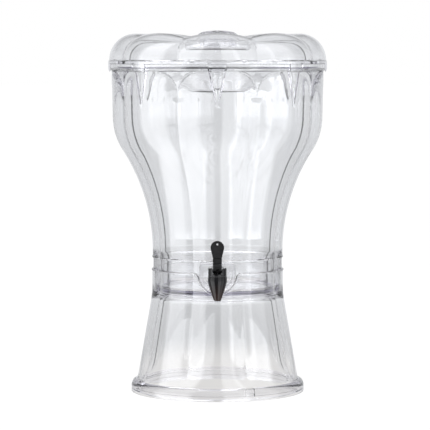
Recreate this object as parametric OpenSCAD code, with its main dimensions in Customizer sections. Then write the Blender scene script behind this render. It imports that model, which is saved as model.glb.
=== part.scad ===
// Clear drink dispenser with a lever tap: lobed tank, lid, ice bowl and stand.
// Millimetres, +Z up, tap towards -Y, origin on the floor under the middle.

/* [Lobes] */
// number of lobes round the tank, lid and stand
lobe_count = 8; // [6:1:10]
// depth of the furrows between the lobes at the top of the tank
crown_lobe = 8; // [4:0.5:10]
// depth of the furrows at the waist
waist_lobe = 4.7; // [3:0.1:6]
// depth of the furrows near the foot of the stand
skirt_lobe = 6; // [3:0.1:8]

/* [Tank] */
// wall of the tank
tank_wall = 3; // [2.4:0.1:3.6]
// floor of the tank
tank_floor = 5; // [3:0.1:6]
// radius over the lobes at the shoulder
crown_r = 147; // [140:0.5:152]
// how much wider the tank is at the rim than at the shoulder
crown_draft = 1.5; // [0.5:0.1:3]
// radius over the lobes at the waist
waist_r = 91.3; // [88:0.1:96]
// height of the curve from the waist to the shoulder
tulip_h = 190; // [170:1:220]
// radius of the curve at the shoulder
shoulder_arc = 87; // [60:1:120]
// height from the shoulder to the top of the rim
crown_h = 74; // [66:1:90]
// height of the straight band under the curve
waist_h = 8; // [6:0.5:16]
// height of the neck that shows over the collar
neck_h = 14.5; // [11:0.5:18]
// step from the neck out to the waist
neck_step = 0.9; // [0.4:0.1:1.5]
// how far the rim stands out over the wall
rim_lip = 2; // [1.2:0.1:3]
// height of the rim
rim_h = 9; // [8:0.5:12]
// height over which the furrows are closed under the rim
cove_h = 37; // [25:1:45]
// radius at the top of each tapered corbel under the rim
corbel_r = 14; // [12:0.5:16]
// how far the corbels' middle line lies outside the inner face of the wall at their top
corbel_sink = 7; // [6:0.5:8]
// height of the corbels
corbel_h = 54; // [40:1:65]
// wall between a corbel and the dent that hollows it from outside
corbel_wall = 2.5; // [2:0.1:3]
// how deep below the rim the ice bowl sits on the corbels
bowl_drop = 6.5; // [5.5:0.1:7.5]

/* [Tap pad] */
// half width of the flat face that the tap sits on
pad_r = 20.5; // [18:0.5:23]
// width of the step round that face
pad_step = 4; // [3.5:0.1:5]
// how far the flat face stands in front of the collar
pad_proud = 1; // [0.5:0.1:2]
// wall of the pad
pad_wall = 4; // [3.5:0.1:4.5]
// gap between the pad and the notch of the stand
notch_gap = 2.5; // [1.5:0.1:4]
// rounding of the notch's upper corners
notch_fillet = 9; // [5:0.5:11]

/* [Ice bowl] */
// gap between the flange and the wall of the tank
bowl_gap = 3; // [2:0.1:4.5]
// radius at which the wall starts to fall from the flange
bowl_mouth_r = 90; // [82:1:98]
// radius of the flat bottom
bowl_flat_r = 36; // [30:1:42]
// depth of the bowl
bowl_depth = 33; // [25:1:36]
// radius of the corner at the bottom
bowl_corner = 5; // [4:0.5:8]
// arc under the flange, as a share of the largest that fits
bowl_ease = 0.9; // [0.7:0.05:0.95]
// wall of the bowl
bowl_wall = 2.5; // [2:0.1:2.6]

/* [Lid] */
// wall of the lid
lid_wall = 2.8; // [2.2:0.1:3.4]
// height of the lid over the rim
lid_h = 42; // [38:0.5:50]
// how far the lid stands out over the rim
lid_lip = 2.5; // [2.2:0.1:3.5]
// height of the flat edge of the lid
lid_edge_h = 5; // [3.2:0.1:6]
// depth of the furrows where they meet the edge of the lid
lid_lobe = 10; // [6:0.5:12]
// radius where the lobes of the lid are highest
lid_top_r = 115; // [105:1:122]
// how far the furrows lie under the lobes on top
lid_furrow = 6.5; // [4:0.5:8]
// how far the top falls towards the well
lid_sag = 5.5; // [3:0.5:7]
// radius of the well in the middle
well_r = 44.5; // [42:0.5:50]
// depth of the well under the top of the lobes
well_depth = 19; // [17:0.5:22]
// rounding at the top of the well
well_edge = 7.5; // [6:0.5:9]
// width of the tabs that keep the lid in place
tab_w = 24; // [16:1:30]
// how far the tabs hang down
tab_drop = 11; // [8:0.5:14]
// gap between the tabs and the rim
tab_gap = 0.4; // [0.3:0.1:0.8]

/* [Lid knob] */
// radius of the knob
knob_r = 27.5; // [24:0.5:29]
// height of the knob
knob_h = 23.5; // [22:0.5:30]
// number of finger flutes
flute_count = 16; // [10:1:20]
// radius of a finger flute
flute_r = 3.5; // [2.5:0.1:4]
// wall of the knob
knob_wall = 3.2; // [3:0.1:4]
// radius of the screw that holds the knob
screw_r = 2; // [1.5:0.1:2.5]

/* [Stand] */
// height of the shelf that carries the tank
shelf_z = 142; // [120:1:150]
// height of the collar over the shelf
collar_h = 31; // [30:0.5:36]
// wall of the collar and the skirt
stand_wall = 2.8; // [2.4:0.1:3.2]
// how far the collar stands out over the waist of the tank
collar_flush = 0.7; // [0.3:0.1:1.2]
// gap between the tank and the collar
plug_gap = 0.4; // [0.3:0.05:0.6]
// radius of the hole in the shelf
shelf_hole_r = 70; // [60:1:74]
// thickness of the shelf
shelf_t = 3; // [2.4:0.1:5]
// radius of the skirt at the foot
skirt_r = 113; // [108:0.5:118]
// width of the four locking lugs
lug_w = 12; // [8:0.5:16]
// number of locking lugs
lug_count = 4; // [3:1:6]

/* [Foot ring] */
// how far the foot ring stands out over the skirt
ring_w = 8.5; // [7.5:0.1:12]
// height of the foot ring
ring_h = 17; // [15:0.5:20]
// height of the channel floor that the skirt stands on
ring_floor = 6; // [5:0.5:7]
// gap between the skirt and the channel
ring_gap = 0.25; // [0.15:0.05:0.4]

/* [Tap] */
// depth of the tap axis under the top of the collar
tap_drop = 6; // [4.5:0.5:7]
// distance from the pad to the spout
tap_reach = 42; // [40:0.5:44]
// radius of the shank
shank_r = 7.5; // [6.5:0.1:8]
// radius of the flow passage in the shank
shank_bore_r = 4.2; // [3.5:0.1:4.5]
// radius of the tap flange and its washers
flange_r = 13; // [12:0.5:14]
// thickness of the sealing washers
washer_t = 2; // [1.5:0.1:2.5]
// thickness of the shank nut
nut_t = 7; // [5:0.5:8]
// widest radius of the tap body
barrel_r = 13; // [12.3:0.1:13.5]
// outside radius of the spout
spout_r = 4.9; // [4.7:0.1:5.5]
// radius of the flow passage in the spout
spout_bore_r = 3.6; // [3:0.1:3.6]
// radius of the valve chamber
chamber_r = 8; // [7.7:0.1:8.2]
// width of the lever
lever_w = 12.1; // [10:0.1:13]
// radius of the lever head
head_r = 9.2; // [7.5:0.05:10]
// height of the middle of the lever head over its pin
head_up = 31.9; // [26:0.1:36]
// how far the lever tilts
lever_tilt = 80; // [60:1:85]
// how far the lever lifts the valve stem
stem_lift = 3.2; // [2.5:0.1:3.5]
// radius of the valve stem
stem_r = 2.3; // [2:0.1:2.5]
// radius of the lever pin
pin_r = 1.5; // [1.2:0.1:1.6]
// radius of the spring wire
wire_r = 0.4; // [0.3:0.05:0.45]
// number of turns of the spring
spring_turns = 3.5; // [3:0.5:4]

/* [Hidden] */
$fn = 64;
// points along each lobe
lobe_steps = 8;
pitch = 360 / lobe_count;
ring_points = lobe_count * lobe_steps;
// extra length of a cutter past the face that it cuts
past = 1;

// levels of the stand and the tank
collar_r = waist_r + collar_flush;
collar_z = shelf_z + collar_h;
plug_r = collar_r - stand_wall - plug_gap;
plug_chamfer = 1;
neck_r = waist_r - neck_step;
neck_z = collar_z + plug_gap;
step_z = neck_z + neck_h;
waist_z = step_z + waist_h;
shoulder_z = waist_z + tulip_h;
rim_z = shoulder_z + crown_h;
rim_low_z = rim_z - rim_h;
rim_chamfer = 1;
crown_top_r = crown_r + crown_draft;
rim_r = crown_top_r + rim_lip;
cove_z = rim_low_z - cove_h;
bowl_z = rim_z - bowl_drop;
bowl_flange_r = crown_r - tank_wall - bowl_gap;
rim_in_r = rim_r - tank_wall;
rim_step = 3;

// curve from the waist to the shoulder: two arcs that meet in a tangent
tulip_turn = 2 * atan((crown_r - waist_r) / tulip_h);
waist_arc = tulip_h / sin(tulip_turn) - shoulder_arc;
tulip_join = waist_z + waist_arc * sin(tulip_turn);
tulip_steps = 13;
cove_steps = 6;

// corbels
corbel_tip_r = 0.8;
corbel_tip_axis = crown_r - tank_wall / 2;
corbel_top_axis = crown_r - tank_wall + corbel_sink;
corbel_clip = crown_r - tank_wall / 3;
dent_tip_axis = crown_r + 0.9;
dent_h = corbel_h - 6;
dent_top = rim_low_z - 1;

// tap pad and shank, from the front to the inside of the tank
pad_y = -(collar_r + pad_proud);
pad_out_r = pad_r + pad_step;
pad_face_t = 1.5;
pad_back_y = -(plug_r - tank_wall) + 6;
pad_top = step_z - 1;
pocket_r = pad_out_r - tank_wall;
pocket_y = pad_y + pad_wall;
pocket_top = pad_top - tank_wall;
notch_r = pad_out_r + notch_gap;
notch_fillet_x = sqrt(pow(notch_r + notch_fillet, 2) - pow(notch_fillet, 2));
notch_fillet_h = notch_fillet * notch_r / (notch_r + notch_fillet);
tap_z = collar_z - tap_drop;
tap_y = pad_y - tap_reach;
shank_hole_r = shank_r + 0.25;
washer_bore_r = shank_r + 0.1;
nut_bore_r = shank_r + 0.05;
nut_r = 12.4;
inner_washer_y = pocket_y + washer_t;
nut_y = inner_washer_y + nut_t;
shank_end_y = nut_y + 4;
flange_t = 3;
flange_y = pad_y - washer_t;
arm_r = 8.8;

// tap body and valve
barrel_low = tap_z - 26.7;
barrel_top = tap_z + 6.6;
barrel_steps = 12;
spout_flare = 3.2;
spout_pull_h = 9;
widest_pull_h = 3.5;
widest_up = 1;
seat_z = tap_z - 8.5;
gasket_t = 0.8;
bonnet_z = barrel_top + gasket_t;
bonnet_t = 2.6;
bonnet_r = barrel_r - 0.5;
bonnet_gap = 0.4;
bonnet_floor = bonnet_z + bonnet_t;
bonnet_top = bonnet_floor + 8;
plug_low = bonnet_z - 2.8;
plug_fit = 0.1;
stem_fit = 0.05;
cheek_gap = 0.3;
seal_wire = 0.6;
seal_z = bonnet_z - 0.4;
groove_h = 1.6;
cup_r = 5.5;
cup_h = 3.4;
cup_socket = 1.4;
collet_r = 5;
collet_t = 0.8;
collet_z = seat_z + cup_h;
spring_r = 4;
spring_low = collet_z + collet_t + 0.05;
spring_high = plug_low - 0.05;

// cam of the lever: a circle whose middle lies over the pin
cam_low = 3.45;
cam_fit = 0.05;
cam_off = stem_lift / (1 - cos(lever_tilt));
cam_r = cam_low + cam_off;
pin_z = bonnet_floor + cam_low + cam_fit;
pin_fit = 0.05;
eye_r = 3;
eye_t = 4;
eye_gap = 0.3;
neck_t = 8;
paddle_t = 6;
paddle_z = pin_z + 17.7;
head_hole_r = 1.4;

// lid
lid_r = rim_r + lid_lip;
lid_furrow_r = rim_r;
lid_low_r = lid_r - 1.2;
lid_furrow_top_r = lid_top_r - 2;
lid_seat_r = rim_in_r - 1;
lid_seat_lobe = 5;
lid_arc_z = rim_z + lid_edge_h;
lid_arc_h = lid_h - lid_edge_h;
lid_top_z = rim_z + lid_h;
well_z = lid_top_z - well_depth;
well_out_r = well_r + well_edge;
well_arc_z = lid_top_z - lid_sag - well_edge;
lid_arc_steps = 8;
lid_slope_steps = 4;
well_steps = 4;
tab_in_r = rim_r + tab_gap;
tab_out_r = lid_r - 0.1;

// knob
knob_neck_r = knob_r - 8;
knob_neck_h = 5;
knob_crown_h = 6;
knob_boss_r = screw_r + 3;
knob_steps = 6;
flute_out = knob_r + 1.8;
screw_head_r = 4.5;
screw_head_h = 3;
screw_up = 15;

// stand and foot ring
skirt_z = ring_floor + 12;
skirt_fade = 27;
skirt_bend = shelf_z - 4;
bend_half = 13;
bend_low = skirt_bend - bend_half;
bend_top = skirt_bend + bend_half;
fade_z = skirt_z + skirt_fade;
skirt_slope = (skirt_r - collar_r) / (skirt_bend - skirt_z);
channel_out_r = skirt_r + ring_gap;
channel_in_r = skirt_r - stand_wall - ring_gap;
ring_r = skirt_r + ring_w;
ring_in_r = channel_in_r - 3.2;
ring_wall_h = ring_h - 9;
ring_lip_top = channel_out_r + 1.2;
ring_steps = 8;
core_in_r = ring_in_r + 3.5;
core_out_r = ring_r - 3.5;
core_h = ring_floor - 3;
lug_z = ring_floor + 3;
lug_h = 4.5;
lug_out = skirt_r + 3.2;
lug_fit = 0.4;

// radius at an angle off the crest, for lobes that are arcs between two furrows
function lobed(a, rc, rv) =
  let (s = rc - rv * cos(pitch / 2), c = rv * sin(pitch / 2), r = (c * c + s * s) / (2 * s), d = rc - r)
  d * cos(a) + sqrt(r * r - d * d * sin(a) * sin(a));

// angle of point j off the nearest crest
function off_crest(j) =
  let (k = j % lobe_steps)
  pitch * (k > lobe_steps / 2 ? k - lobe_steps : k) / lobe_steps;

// one closed ring of points; low is the least radius
function lobe_ring(z, rc, rv, low = 0) =
  [for (j = [0:ring_points - 1])
    let (r = max(low, lobed(off_crest(j), rc, rv)), a = -90 + j * 360 / ring_points)
    [r * cos(a), r * sin(a), z]];

// one ring between a crest point and a furrow point, each [radius, height]
function dome_ring(crest, furrow) =
  [for (j = [0:ring_points - 1])
    let (o = off_crest(j), w = pow(o / (pitch / 2), 2), r = lobed(o, crest[0], furrow[0]),
      a = -90 + j * 360 / ring_points)
    [r * cos(a), r * sin(a), crest[1] + (furrow[1] - crest[1]) * w]];

// solid through the rings in turn; looped joins the last ring to the first
module loft(rings, looped = false) {
  n = len(rings[0]);
  m = len(rings);
  last = looped ? m - 1 : m - 2;
  sides = [for (i = [0:last], j = [0:n - 1])
    let (p = i * n + j, q = i * n + (j + 1) % n, t = ((i + 1) % m) * n)
    each [[p, t + j, t + (j + 1) % n], [p, t + (j + 1) % n, q]]];
  low_cap = [[for (j = [0:n - 1]) j]];
  high_cap = [[for (j = [0:n - 1]) m * n - 1 - j]];
  polyhedron([for (ring = rings) each ring], looped ? sides : concat(sides, low_cap, high_cap), 10);
}

// radius over the lobes between the waist and the shoulder
function tulip_r(z) =
  z < tulip_join
    ? waist_r + waist_arc - sqrt(pow(waist_arc, 2) - pow(z - waist_z, 2))
    : crown_r - shoulder_arc + sqrt(pow(shoulder_arc, 2) - pow(shoulder_z - z, 2));

// radius over the lobes of the straight wall over the shoulder
function crown_wall(z) = crown_r + crown_draft * (z - shoulder_z) / (rim_low_z - shoulder_z);

// depth of the furrows where the tank has a given radius
function lobe_depth(r) = waist_lobe + (crown_lobe - waist_lobe) * (r - waist_r) / (crown_r - waist_r);

// least radius where the furrows are closed under the rim
function cove_r(z) =
  let (u = min(1, max(0, (z - cove_z) / cove_h)))
  crown_wall(z) - crown_lobe * sqrt(1 - u * u);

// rings of the tank's curved wall, each [height, crest radius, furrow depth, least radius]
tulip_wall = [for (i = [0:tulip_steps])
  let (z = waist_z + tulip_h * i / tulip_steps, r = tulip_r(z))
  [z, r, lobe_depth(r), 0]];
cove_wall = [for (i = [0:cove_steps])
  let (z = cove_z + cove_h * sin(90 * i / cove_steps))
  [z, crown_wall(z), crown_lobe, cove_r(z)]];
wall_levels = concat(tulip_wall, cove_wall);

function wall_rings(inset) =
  [for (w = wall_levels) lobe_ring(w[0], w[1] - inset, w[1] - w[2] - inset, w[3] - inset)];
function turned(list) = [for (i = [len(list) - 1:-1:0]) list[i]];

module tank_shell() {
  plug_in_r = plug_r - tank_wall;
  outside = concat(
    [lobe_ring(shelf_z, plug_r - plug_chamfer, plug_r - waist_lobe - plug_chamfer),
     lobe_ring(shelf_z + plug_chamfer, plug_r, plug_r - waist_lobe),
     lobe_ring(neck_z, plug_r, plug_r - waist_lobe),
     lobe_ring(neck_z, neck_r, neck_r - waist_lobe),
     lobe_ring(step_z, neck_r, neck_r - waist_lobe),
     lobe_ring(step_z + neck_step, waist_r, waist_r - waist_lobe)],
    wall_rings(0),
    [lobe_ring(rim_low_z + rim_chamfer, rim_r, rim_r),
     lobe_ring(rim_z - rim_chamfer, rim_r, rim_r),
     lobe_ring(rim_z, rim_r - rim_chamfer, rim_r - rim_chamfer)]);
  inside = concat(
    [lobe_ring(rim_z, rim_in_r, rim_in_r),
     lobe_ring(rim_low_z + rim_step, rim_in_r, rim_in_r)],
    turned(wall_rings(tank_wall)),
    [lobe_ring(step_z, plug_in_r, plug_in_r - waist_lobe),
     lobe_ring(shelf_z + tank_floor, plug_in_r, plug_in_r - waist_lobe)]);
  loft(concat(outside, inside));
}

// upright U shape, seen from the front: half round below, straight up to the top
module u_shape(r, top) {
  translate([0, collar_z])
    circle(r);
  translate([-r, collar_z])
    square([2 * r, top - collar_z]);
}

// a shape drawn in X and Z as a block between two distances from the middle
module front_block(front, back) {
  translate([0, back, 0])
    rotate([90, 0, 0])
      linear_extrude(back - front)
        children();
}

module u_block(r, top, front, back) {
  front_block(front, back)
    u_shape(r, top);
}

// round bar along Y
module bar_y(r, front, back) {
  translate([0, back, tap_z])
    rotate([90, 0, 0])
      cylinder(r = r, h = back - front);
}

// one cone on each lobe that leans out from its tip and has the radius r at the height of the ice bowl
module leaning_cones(tip_axis, r, h) {
  stretch = 1.2;
  end_r = corbel_tip_r + (r - corbel_tip_r) * stretch;
  lean = atan((corbel_top_axis - tip_axis) / h);
  for (i = [0:lobe_count - 1])
    rotate(-90 + i * pitch)
      translate([tip_axis, 0, bowl_z - h])
        rotate([0, lean, 0])
          cylinder(r1 = corbel_tip_r, r2 = end_r, h = h * stretch);
}

// supports of the ice bowl, cut flat at its height
module corbels() {
  intersection() {
    leaning_cones(corbel_tip_axis, corbel_r, corbel_h);
    cylinder(r = corbel_clip, h = bowl_z);
  }
}

// hollows that keep the corbels thin, open to the outside
module dents() {
  intersection() {
    leaning_cones(dent_tip_axis, corbel_r - corbel_wall, dent_h);
    cylinder(r = rim_r + corbel_r, h = dent_top);
  }
}

module tank() {
  color([0.93, 0.95, 0.97, 0.35])
    difference() {
      union() {
        tank_shell();
        corbels();
        u_block(pad_out_r, pad_top, pad_y + pad_face_t, pad_back_y);
        u_block(pad_r, pad_top - pad_step, pad_y, pad_back_y);
      }
      dents();
      u_block(pocket_r, pocket_top, pocket_y, pad_back_y + past);
      bar_y(shank_hole_r, pad_y - past, pocket_y + past);
    }
}

// wall of the bowl: an arc under the flange, a straight part and a corner, as [radius, height] points
bowl_run = bowl_mouth_r - bowl_flat_r;
bowl_arc = bowl_ease * (bowl_run * bowl_run + bowl_depth * bowl_depth) / (2 * bowl_depth) - bowl_corner;
bowl_rise = bowl_depth - bowl_arc - bowl_corner;
bowl_turn = asin((bowl_arc + bowl_corner) / norm([bowl_run, bowl_rise])) + atan(bowl_rise / bowl_run);
bowl_steps = 8;
function bowl_low_arc(extra) =
  [for (i = [0:bowl_steps])
    let (t = bowl_turn * i / bowl_steps, r = bowl_corner - extra)
    [bowl_flat_r + r * sin(t), bowl_z - bowl_depth + bowl_corner - r * cos(t)]];
function bowl_high_arc(extra) =
  [for (i = [0:bowl_steps])
    let (t = bowl_turn * (1 - i / bowl_steps), r = bowl_arc + extra)
    [bowl_mouth_r - r * sin(t), bowl_z - bowl_arc + r * cos(t)]];

module ice_bowl() {
  color([0.93, 0.95, 0.97, 0.35])
    rotate_extrude()
      polygon(concat(
        [[0, bowl_z - bowl_depth]],
        bowl_low_arc(0),
        bowl_high_arc(0),
        [[bowl_flange_r, bowl_z], [bowl_flange_r, bowl_z + bowl_wall]],
        turned(bowl_high_arc(bowl_wall)),
        turned(bowl_low_arc(bowl_wall)),
        [[0, bowl_z - bowl_depth + bowl_wall]]));
}

// top of the lid from the edge to the well along a crest or a furrow; inset gives the underside
function lid_path(low_r, top_r, drop, inset) = concat(
  [for (i = [0:lid_arc_steps])
    let (t = 90 * i / lid_arc_steps)
    [top_r + (low_r - inset - top_r) * cos(t), lid_arc_z + (lid_arc_h - drop - inset) * sin(t)]],
  [for (i = [1:lid_slope_steps])
    let (s = i / lid_slope_steps)
    [top_r + (well_out_r - top_r) * s,
     lid_top_z - inset - (drop == 0 ? lid_sag * s * s : drop * (1 - s) + lid_sag * s)]],
  [for (i = [1:well_steps])
    let (t = 90 * i / well_steps, r = well_edge - inset)
    [well_out_r - r * sin(t), well_arc_z + r * cos(t)]],
  [[well_r + inset, well_z - inset]]);

function lid_rings(inset) =
  let (crest = lid_path(lid_low_r, lid_top_r, 0, inset),
    furrow = lid_path(lid_low_r - lid_lobe, lid_furrow_top_r, lid_furrow, inset))
  [for (i = [0:len(crest) - 1]) dome_ring(crest[i], furrow[i])];

module lid() {
  under = concat(
    turned(lid_rings(lid_wall)),
    [lobe_ring(lid_arc_z - 1, lid_seat_r, lid_seat_r - lid_seat_lobe),
     lobe_ring(rim_z, lid_seat_r, lid_seat_r - lid_seat_lobe),
     lobe_ring(rim_z, lid_r, lid_furrow_r),
     lobe_ring(lid_arc_z - 1, lid_r, lid_furrow_r)]);
  color([0.93, 0.95, 0.97, 0.35])
    difference() {
      union() {
        loft(concat(under, lid_rings(0)));
        intersection() {
          difference() {
            translate([0, 0, rim_z - tab_drop])
              cylinder(r = tab_out_r, h = tab_drop + past);
            cylinder(r = tab_in_r, h = lid_top_z);
          }
          for (i = [0:lobe_count - 1])
            rotate(-90 + i * pitch)
              translate([0, -tab_w / 2, rim_z - tab_drop])
                cube([lid_r, tab_w, tab_drop + past]);
        }
      }
      translate([0, 0, well_z - lid_wall - past])
        cylinder(r = screw_r + 0.2, h = lid_wall + 2 * past);
    }
}

// domed top of the knob as [radius, height] points; inset gives the inside
function knob_crown(inset) =
  [for (i = [0:knob_steps])
    let (t = 90 * i / knob_steps)
    [(knob_r - inset) * cos(t), knob_h - knob_crown_h + (knob_crown_h - inset) * sin(t)]];

module lid_knob() {
  hollow_r = knob_r - knob_wall;
  hollow_top = [for (c = knob_crown(knob_wall)) if (c[0] > knob_boss_r) c];
  color([0.93, 0.95, 0.97, 0.35])
    difference() {
      translate([0, 0, well_z])
        rotate_extrude()
          polygon(concat(
            [[0, 0], [knob_boss_r, 0], [knob_boss_r, knob_h - knob_wall]],
            turned(hollow_top),
            [[hollow_r, knob_neck_h + knob_wall], [knob_neck_r - knob_wall, knob_neck_h + knob_wall - 1],
             [knob_neck_r - knob_wall, 0], [knob_neck_r, 0], [knob_neck_r, knob_neck_h - 1],
             [knob_r - 1, knob_neck_h], [knob_r, knob_neck_h + 1]],
            knob_crown(0)));
      for (i = [0:flute_count - 1])
        rotate(i * 360 / flute_count)
          translate([flute_out, 0, well_z])
            cylinder(r = flute_r, h = knob_h);
      translate([0, 0, well_z - past])
        cylinder(r = screw_r, h = screw_up + past);
    }
}

module knob_screw() {
  color([0.93, 0.95, 0.97, 0.35])
    union() {
      translate([0, 0, well_z - lid_wall - screw_head_h])
        cylinder(r = screw_head_r, h = screw_head_h);
      translate([0, 0, well_z - lid_wall - past])
        cylinder(r = screw_r, h = lid_wall + screw_up);
    }
}

// radius over the lobes of the stand
function skirt_at(z) =
  z < skirt_z ? skirt_r
  : z < bend_low ? collar_r + skirt_slope * (skirt_bend - z)
  : z < bend_top ? collar_r + skirt_slope * pow(bend_top - z, 2) / (4 * bend_half)
  : collar_r;

// depth of the furrows of the stand, which fade out to a round foot
function skirt_depth(z) =
  let (u = min(1, max(0, (z - skirt_z) / skirt_fade)))
  (skirt_lobe + (waist_lobe - skirt_lobe) * max(0, z - skirt_z) / (collar_z - skirt_z)) * sin(90 * u);

function stand_ring(z, inset) =
  lobe_ring(z, skirt_at(z) - inset, skirt_at(z) - skirt_depth(z) - inset);

// U with its upper corners rounded over into the top of the collar
module notch_shape() {
  u_shape(notch_r, collar_z + past);
  difference() {
    translate([-notch_fillet_x, collar_z - notch_fillet_h])
      square([2 * notch_fillet_x, notch_fillet_h + past]);
    for (side = [-1, 1])
      translate([side * notch_fillet_x, collar_z - notch_fillet])
        circle(notch_fillet);
  }
}

module base_stand() {
  shelf_low = shelf_z - shelf_t;
  fade_levels = [for (i = [0:4]) skirt_z + skirt_fade * i / 4];
  cone_levels = [for (i = [1:3]) fade_z + (bend_low - fade_z) * i / 3];
  bend_levels = [for (i = [1:4]) bend_low + (bend_top - bend_low) * i / 4];
  out_levels = concat([ring_floor], fade_levels, cone_levels, bend_levels, [collar_z]);
  low_levels = concat([ring_floor], fade_levels, cone_levels);
  under_levels = concat([shelf_low], [for (z = turned(low_levels)) if (z < shelf_low) z]);
  rings = concat(
    [for (z = out_levels) stand_ring(z, 0)],
    [lobe_ring(collar_z, collar_r - stand_wall, collar_r - stand_wall - waist_lobe),
     lobe_ring(shelf_z, collar_r - stand_wall, collar_r - stand_wall - waist_lobe),
     lobe_ring(shelf_z, shelf_hole_r, shelf_hole_r),
     lobe_ring(shelf_low, shelf_hole_r, shelf_hole_r)],
    [for (z = under_levels) stand_ring(z, stand_wall)]);
  color([0.93, 0.95, 0.97, 0.35])
    difference() {
      union() {
        loft(rings, true);
        for (i = [0:lug_count - 1])
          rotate(-90 + pitch / 2 + i * 360 / lug_count)
            translate([skirt_r - stand_wall / 2, -lug_w / 2, lug_z])
              cube([lug_out - skirt_r + stand_wall / 2, lug_w, lug_h]);
      }
      front_block(-collar_r - past, -collar_r / 2)
        notch_shape();
    }
}

module foot_ring() {
  crown = [for (i = [0:ring_steps])
    let (t = 90 * i / ring_steps)
    [ring_lip_top + (ring_r - ring_lip_top) * cos(t), ring_wall_h + (ring_h - ring_wall_h) * sin(t)]];
  color([0.93, 0.95, 0.97, 0.35])
    difference() {
      rotate_extrude()
        polygon(concat(
          [[ring_in_r, 0], [core_in_r, 0], [core_in_r, core_h], [core_out_r, core_h], [core_out_r, 0],
           [ring_r, 0]],
          crown,
          [[channel_out_r, ring_h], [channel_out_r, ring_floor], [channel_in_r, ring_floor],
           [channel_in_r, ring_floor + 6], [ring_in_r, ring_floor + 6]]));
      for (i = [0:lug_count - 1])
        rotate(-90 + pitch / 2 + i * 360 / lug_count)
          translate([skirt_r, -lug_w / 2 - lug_fit, ring_floor])
            cube([lug_out - skirt_r + lug_fit, lug_w + 2 * lug_fit, ring_h]);
    }
}

// point on a cubic curve
function bezier(a, b, c, d, t) =
  a * pow(1 - t, 3) + b * 3 * t * pow(1 - t, 2) + c * 3 * t * t * (1 - t) + d * t * t * t;

module tap_body() {
  spout_end = [spout_r, barrel_low];
  spout_pull = [spout_r + spout_flare, barrel_low + spout_pull_h];
  widest_pull = [barrel_r, tap_z - widest_pull_h];
  widest = [barrel_r, tap_z + widest_up];
  side = [for (i = [0:barrel_steps]) bezier(spout_end, spout_pull, widest_pull, widest, i / barrel_steps)];
  color([0.03, 0.03, 0.035])
    difference() {
      union() {
        translate([0, tap_y, 0])
          rotate_extrude()
            polygon(concat([[0, barrel_low]], side, [[bonnet_r, barrel_top], [0, barrel_top]]));
        bar_y(arm_r, tap_y, flange_y);
        bar_y(flange_r, flange_y - flange_t, flange_y);
        bar_y(shank_r, flange_y - flange_t, shank_end_y);
      }
      translate([0, tap_y, seat_z])
        cylinder(r = chamber_r, h = barrel_top - seat_z + past);
      translate([0, tap_y, barrel_top])
        cylinder(r = bonnet_r + bonnet_gap, h = arm_r);
      translate([0, tap_y, barrel_low - past])
        cylinder(r = spout_bore_r, h = seat_z - barrel_low + 2 * past);
      bar_y(shank_bore_r, tap_y, shank_end_y + past);
    }
}

module tap_bonnet() {
  color([0.03, 0.03, 0.035])
    difference() {
      translate([0, tap_y, 0])
        union() {
          translate([0, 0, plug_low])
            cylinder(r = chamber_r - plug_fit, h = bonnet_z - plug_low + past);
          translate([0, 0, bonnet_z])
            cylinder(r = bonnet_r, h = bonnet_top - bonnet_z);
        }
      translate([-lever_w / 2 - cheek_gap, tap_y - bonnet_r - past, bonnet_floor])
        cube([lever_w + 2 * cheek_gap, 2 * (bonnet_r + past), bonnet_top - bonnet_floor + past]);
      translate([0, tap_y, plug_low - past])
        cylinder(r = stem_r + stem_fit, h = bonnet_floor - plug_low + 2 * past);
      translate([0, tap_y, seal_z - groove_h / 2])
        cylinder(r = stem_r + stem_fit + 2 * seal_wire + 0.1, h = groove_h);
    }
}

// flat ring round the tap's upright axis
module bonnet_gasket() {
  color([0.1, 0.1, 0.11])
    translate([0, tap_y, barrel_top])
      difference() {
        cylinder(r = bonnet_r, h = gasket_t);
        translate([0, 0, -past])
          cylinder(r = chamber_r + plug_fit, h = gasket_t + 2 * past);
      }
}

module stem_seal() {
  color([0.1, 0.1, 0.11])
    translate([0, tap_y, seal_z])
      rotate_extrude()
        translate([stem_r + stem_fit + seal_wire, 0])
          circle(seal_wire);
}

module outer_washer() {
  color([0.1, 0.1, 0.11])
    difference() {
      bar_y(flange_r, flange_y, pad_y);
      bar_y(washer_bore_r, flange_y - past, pad_y + past);
    }
}

module inner_washer() {
  color([0.1, 0.1, 0.11])
    difference() {
      bar_y(flange_r - 1, pocket_y, inner_washer_y);
      bar_y(washer_bore_r, pocket_y - past, inner_washer_y + past);
    }
}

module shank_nut() {
  color([0.03, 0.03, 0.035])
    difference() {
      translate([0, nut_y, tap_z])
        rotate([90, 0, 0])
          cylinder(r = nut_r, h = nut_t, $fn = 6);
      bar_y(nut_bore_r, inner_washer_y - past, nut_y + past);
    }
}

module valve_stem() {
  color([0.9, 0.9, 0.88])
    difference() {
      translate([0, tap_y, 0])
        union() {
          translate([0, 0, seat_z + cup_socket])
            cylinder(r = stem_r, h = pin_z - seat_z - cup_socket);
          translate([0, 0, collet_z])
            cylinder(r = collet_r, h = collet_t);
          translate([-eye_t / 2, 0, pin_z])
            rotate([0, 90, 0])
              cylinder(r = eye_r, h = eye_t);
        }
      translate([-eye_t, tap_y, pin_z])
        rotate([0, 90, 0])
          cylinder(r = pin_r + pin_fit / 2, h = 2 * eye_t);
    }
}

module seat_cup() {
  color([0.85, 0.85, 0.83])
    translate([0, tap_y, seat_z])
      difference() {
        cylinder(r = cup_r, h = cup_h);
        translate([0, 0, cup_socket])
          cylinder(r = stem_r + pin_fit / 2, h = cup_h);
      }
}

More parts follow.
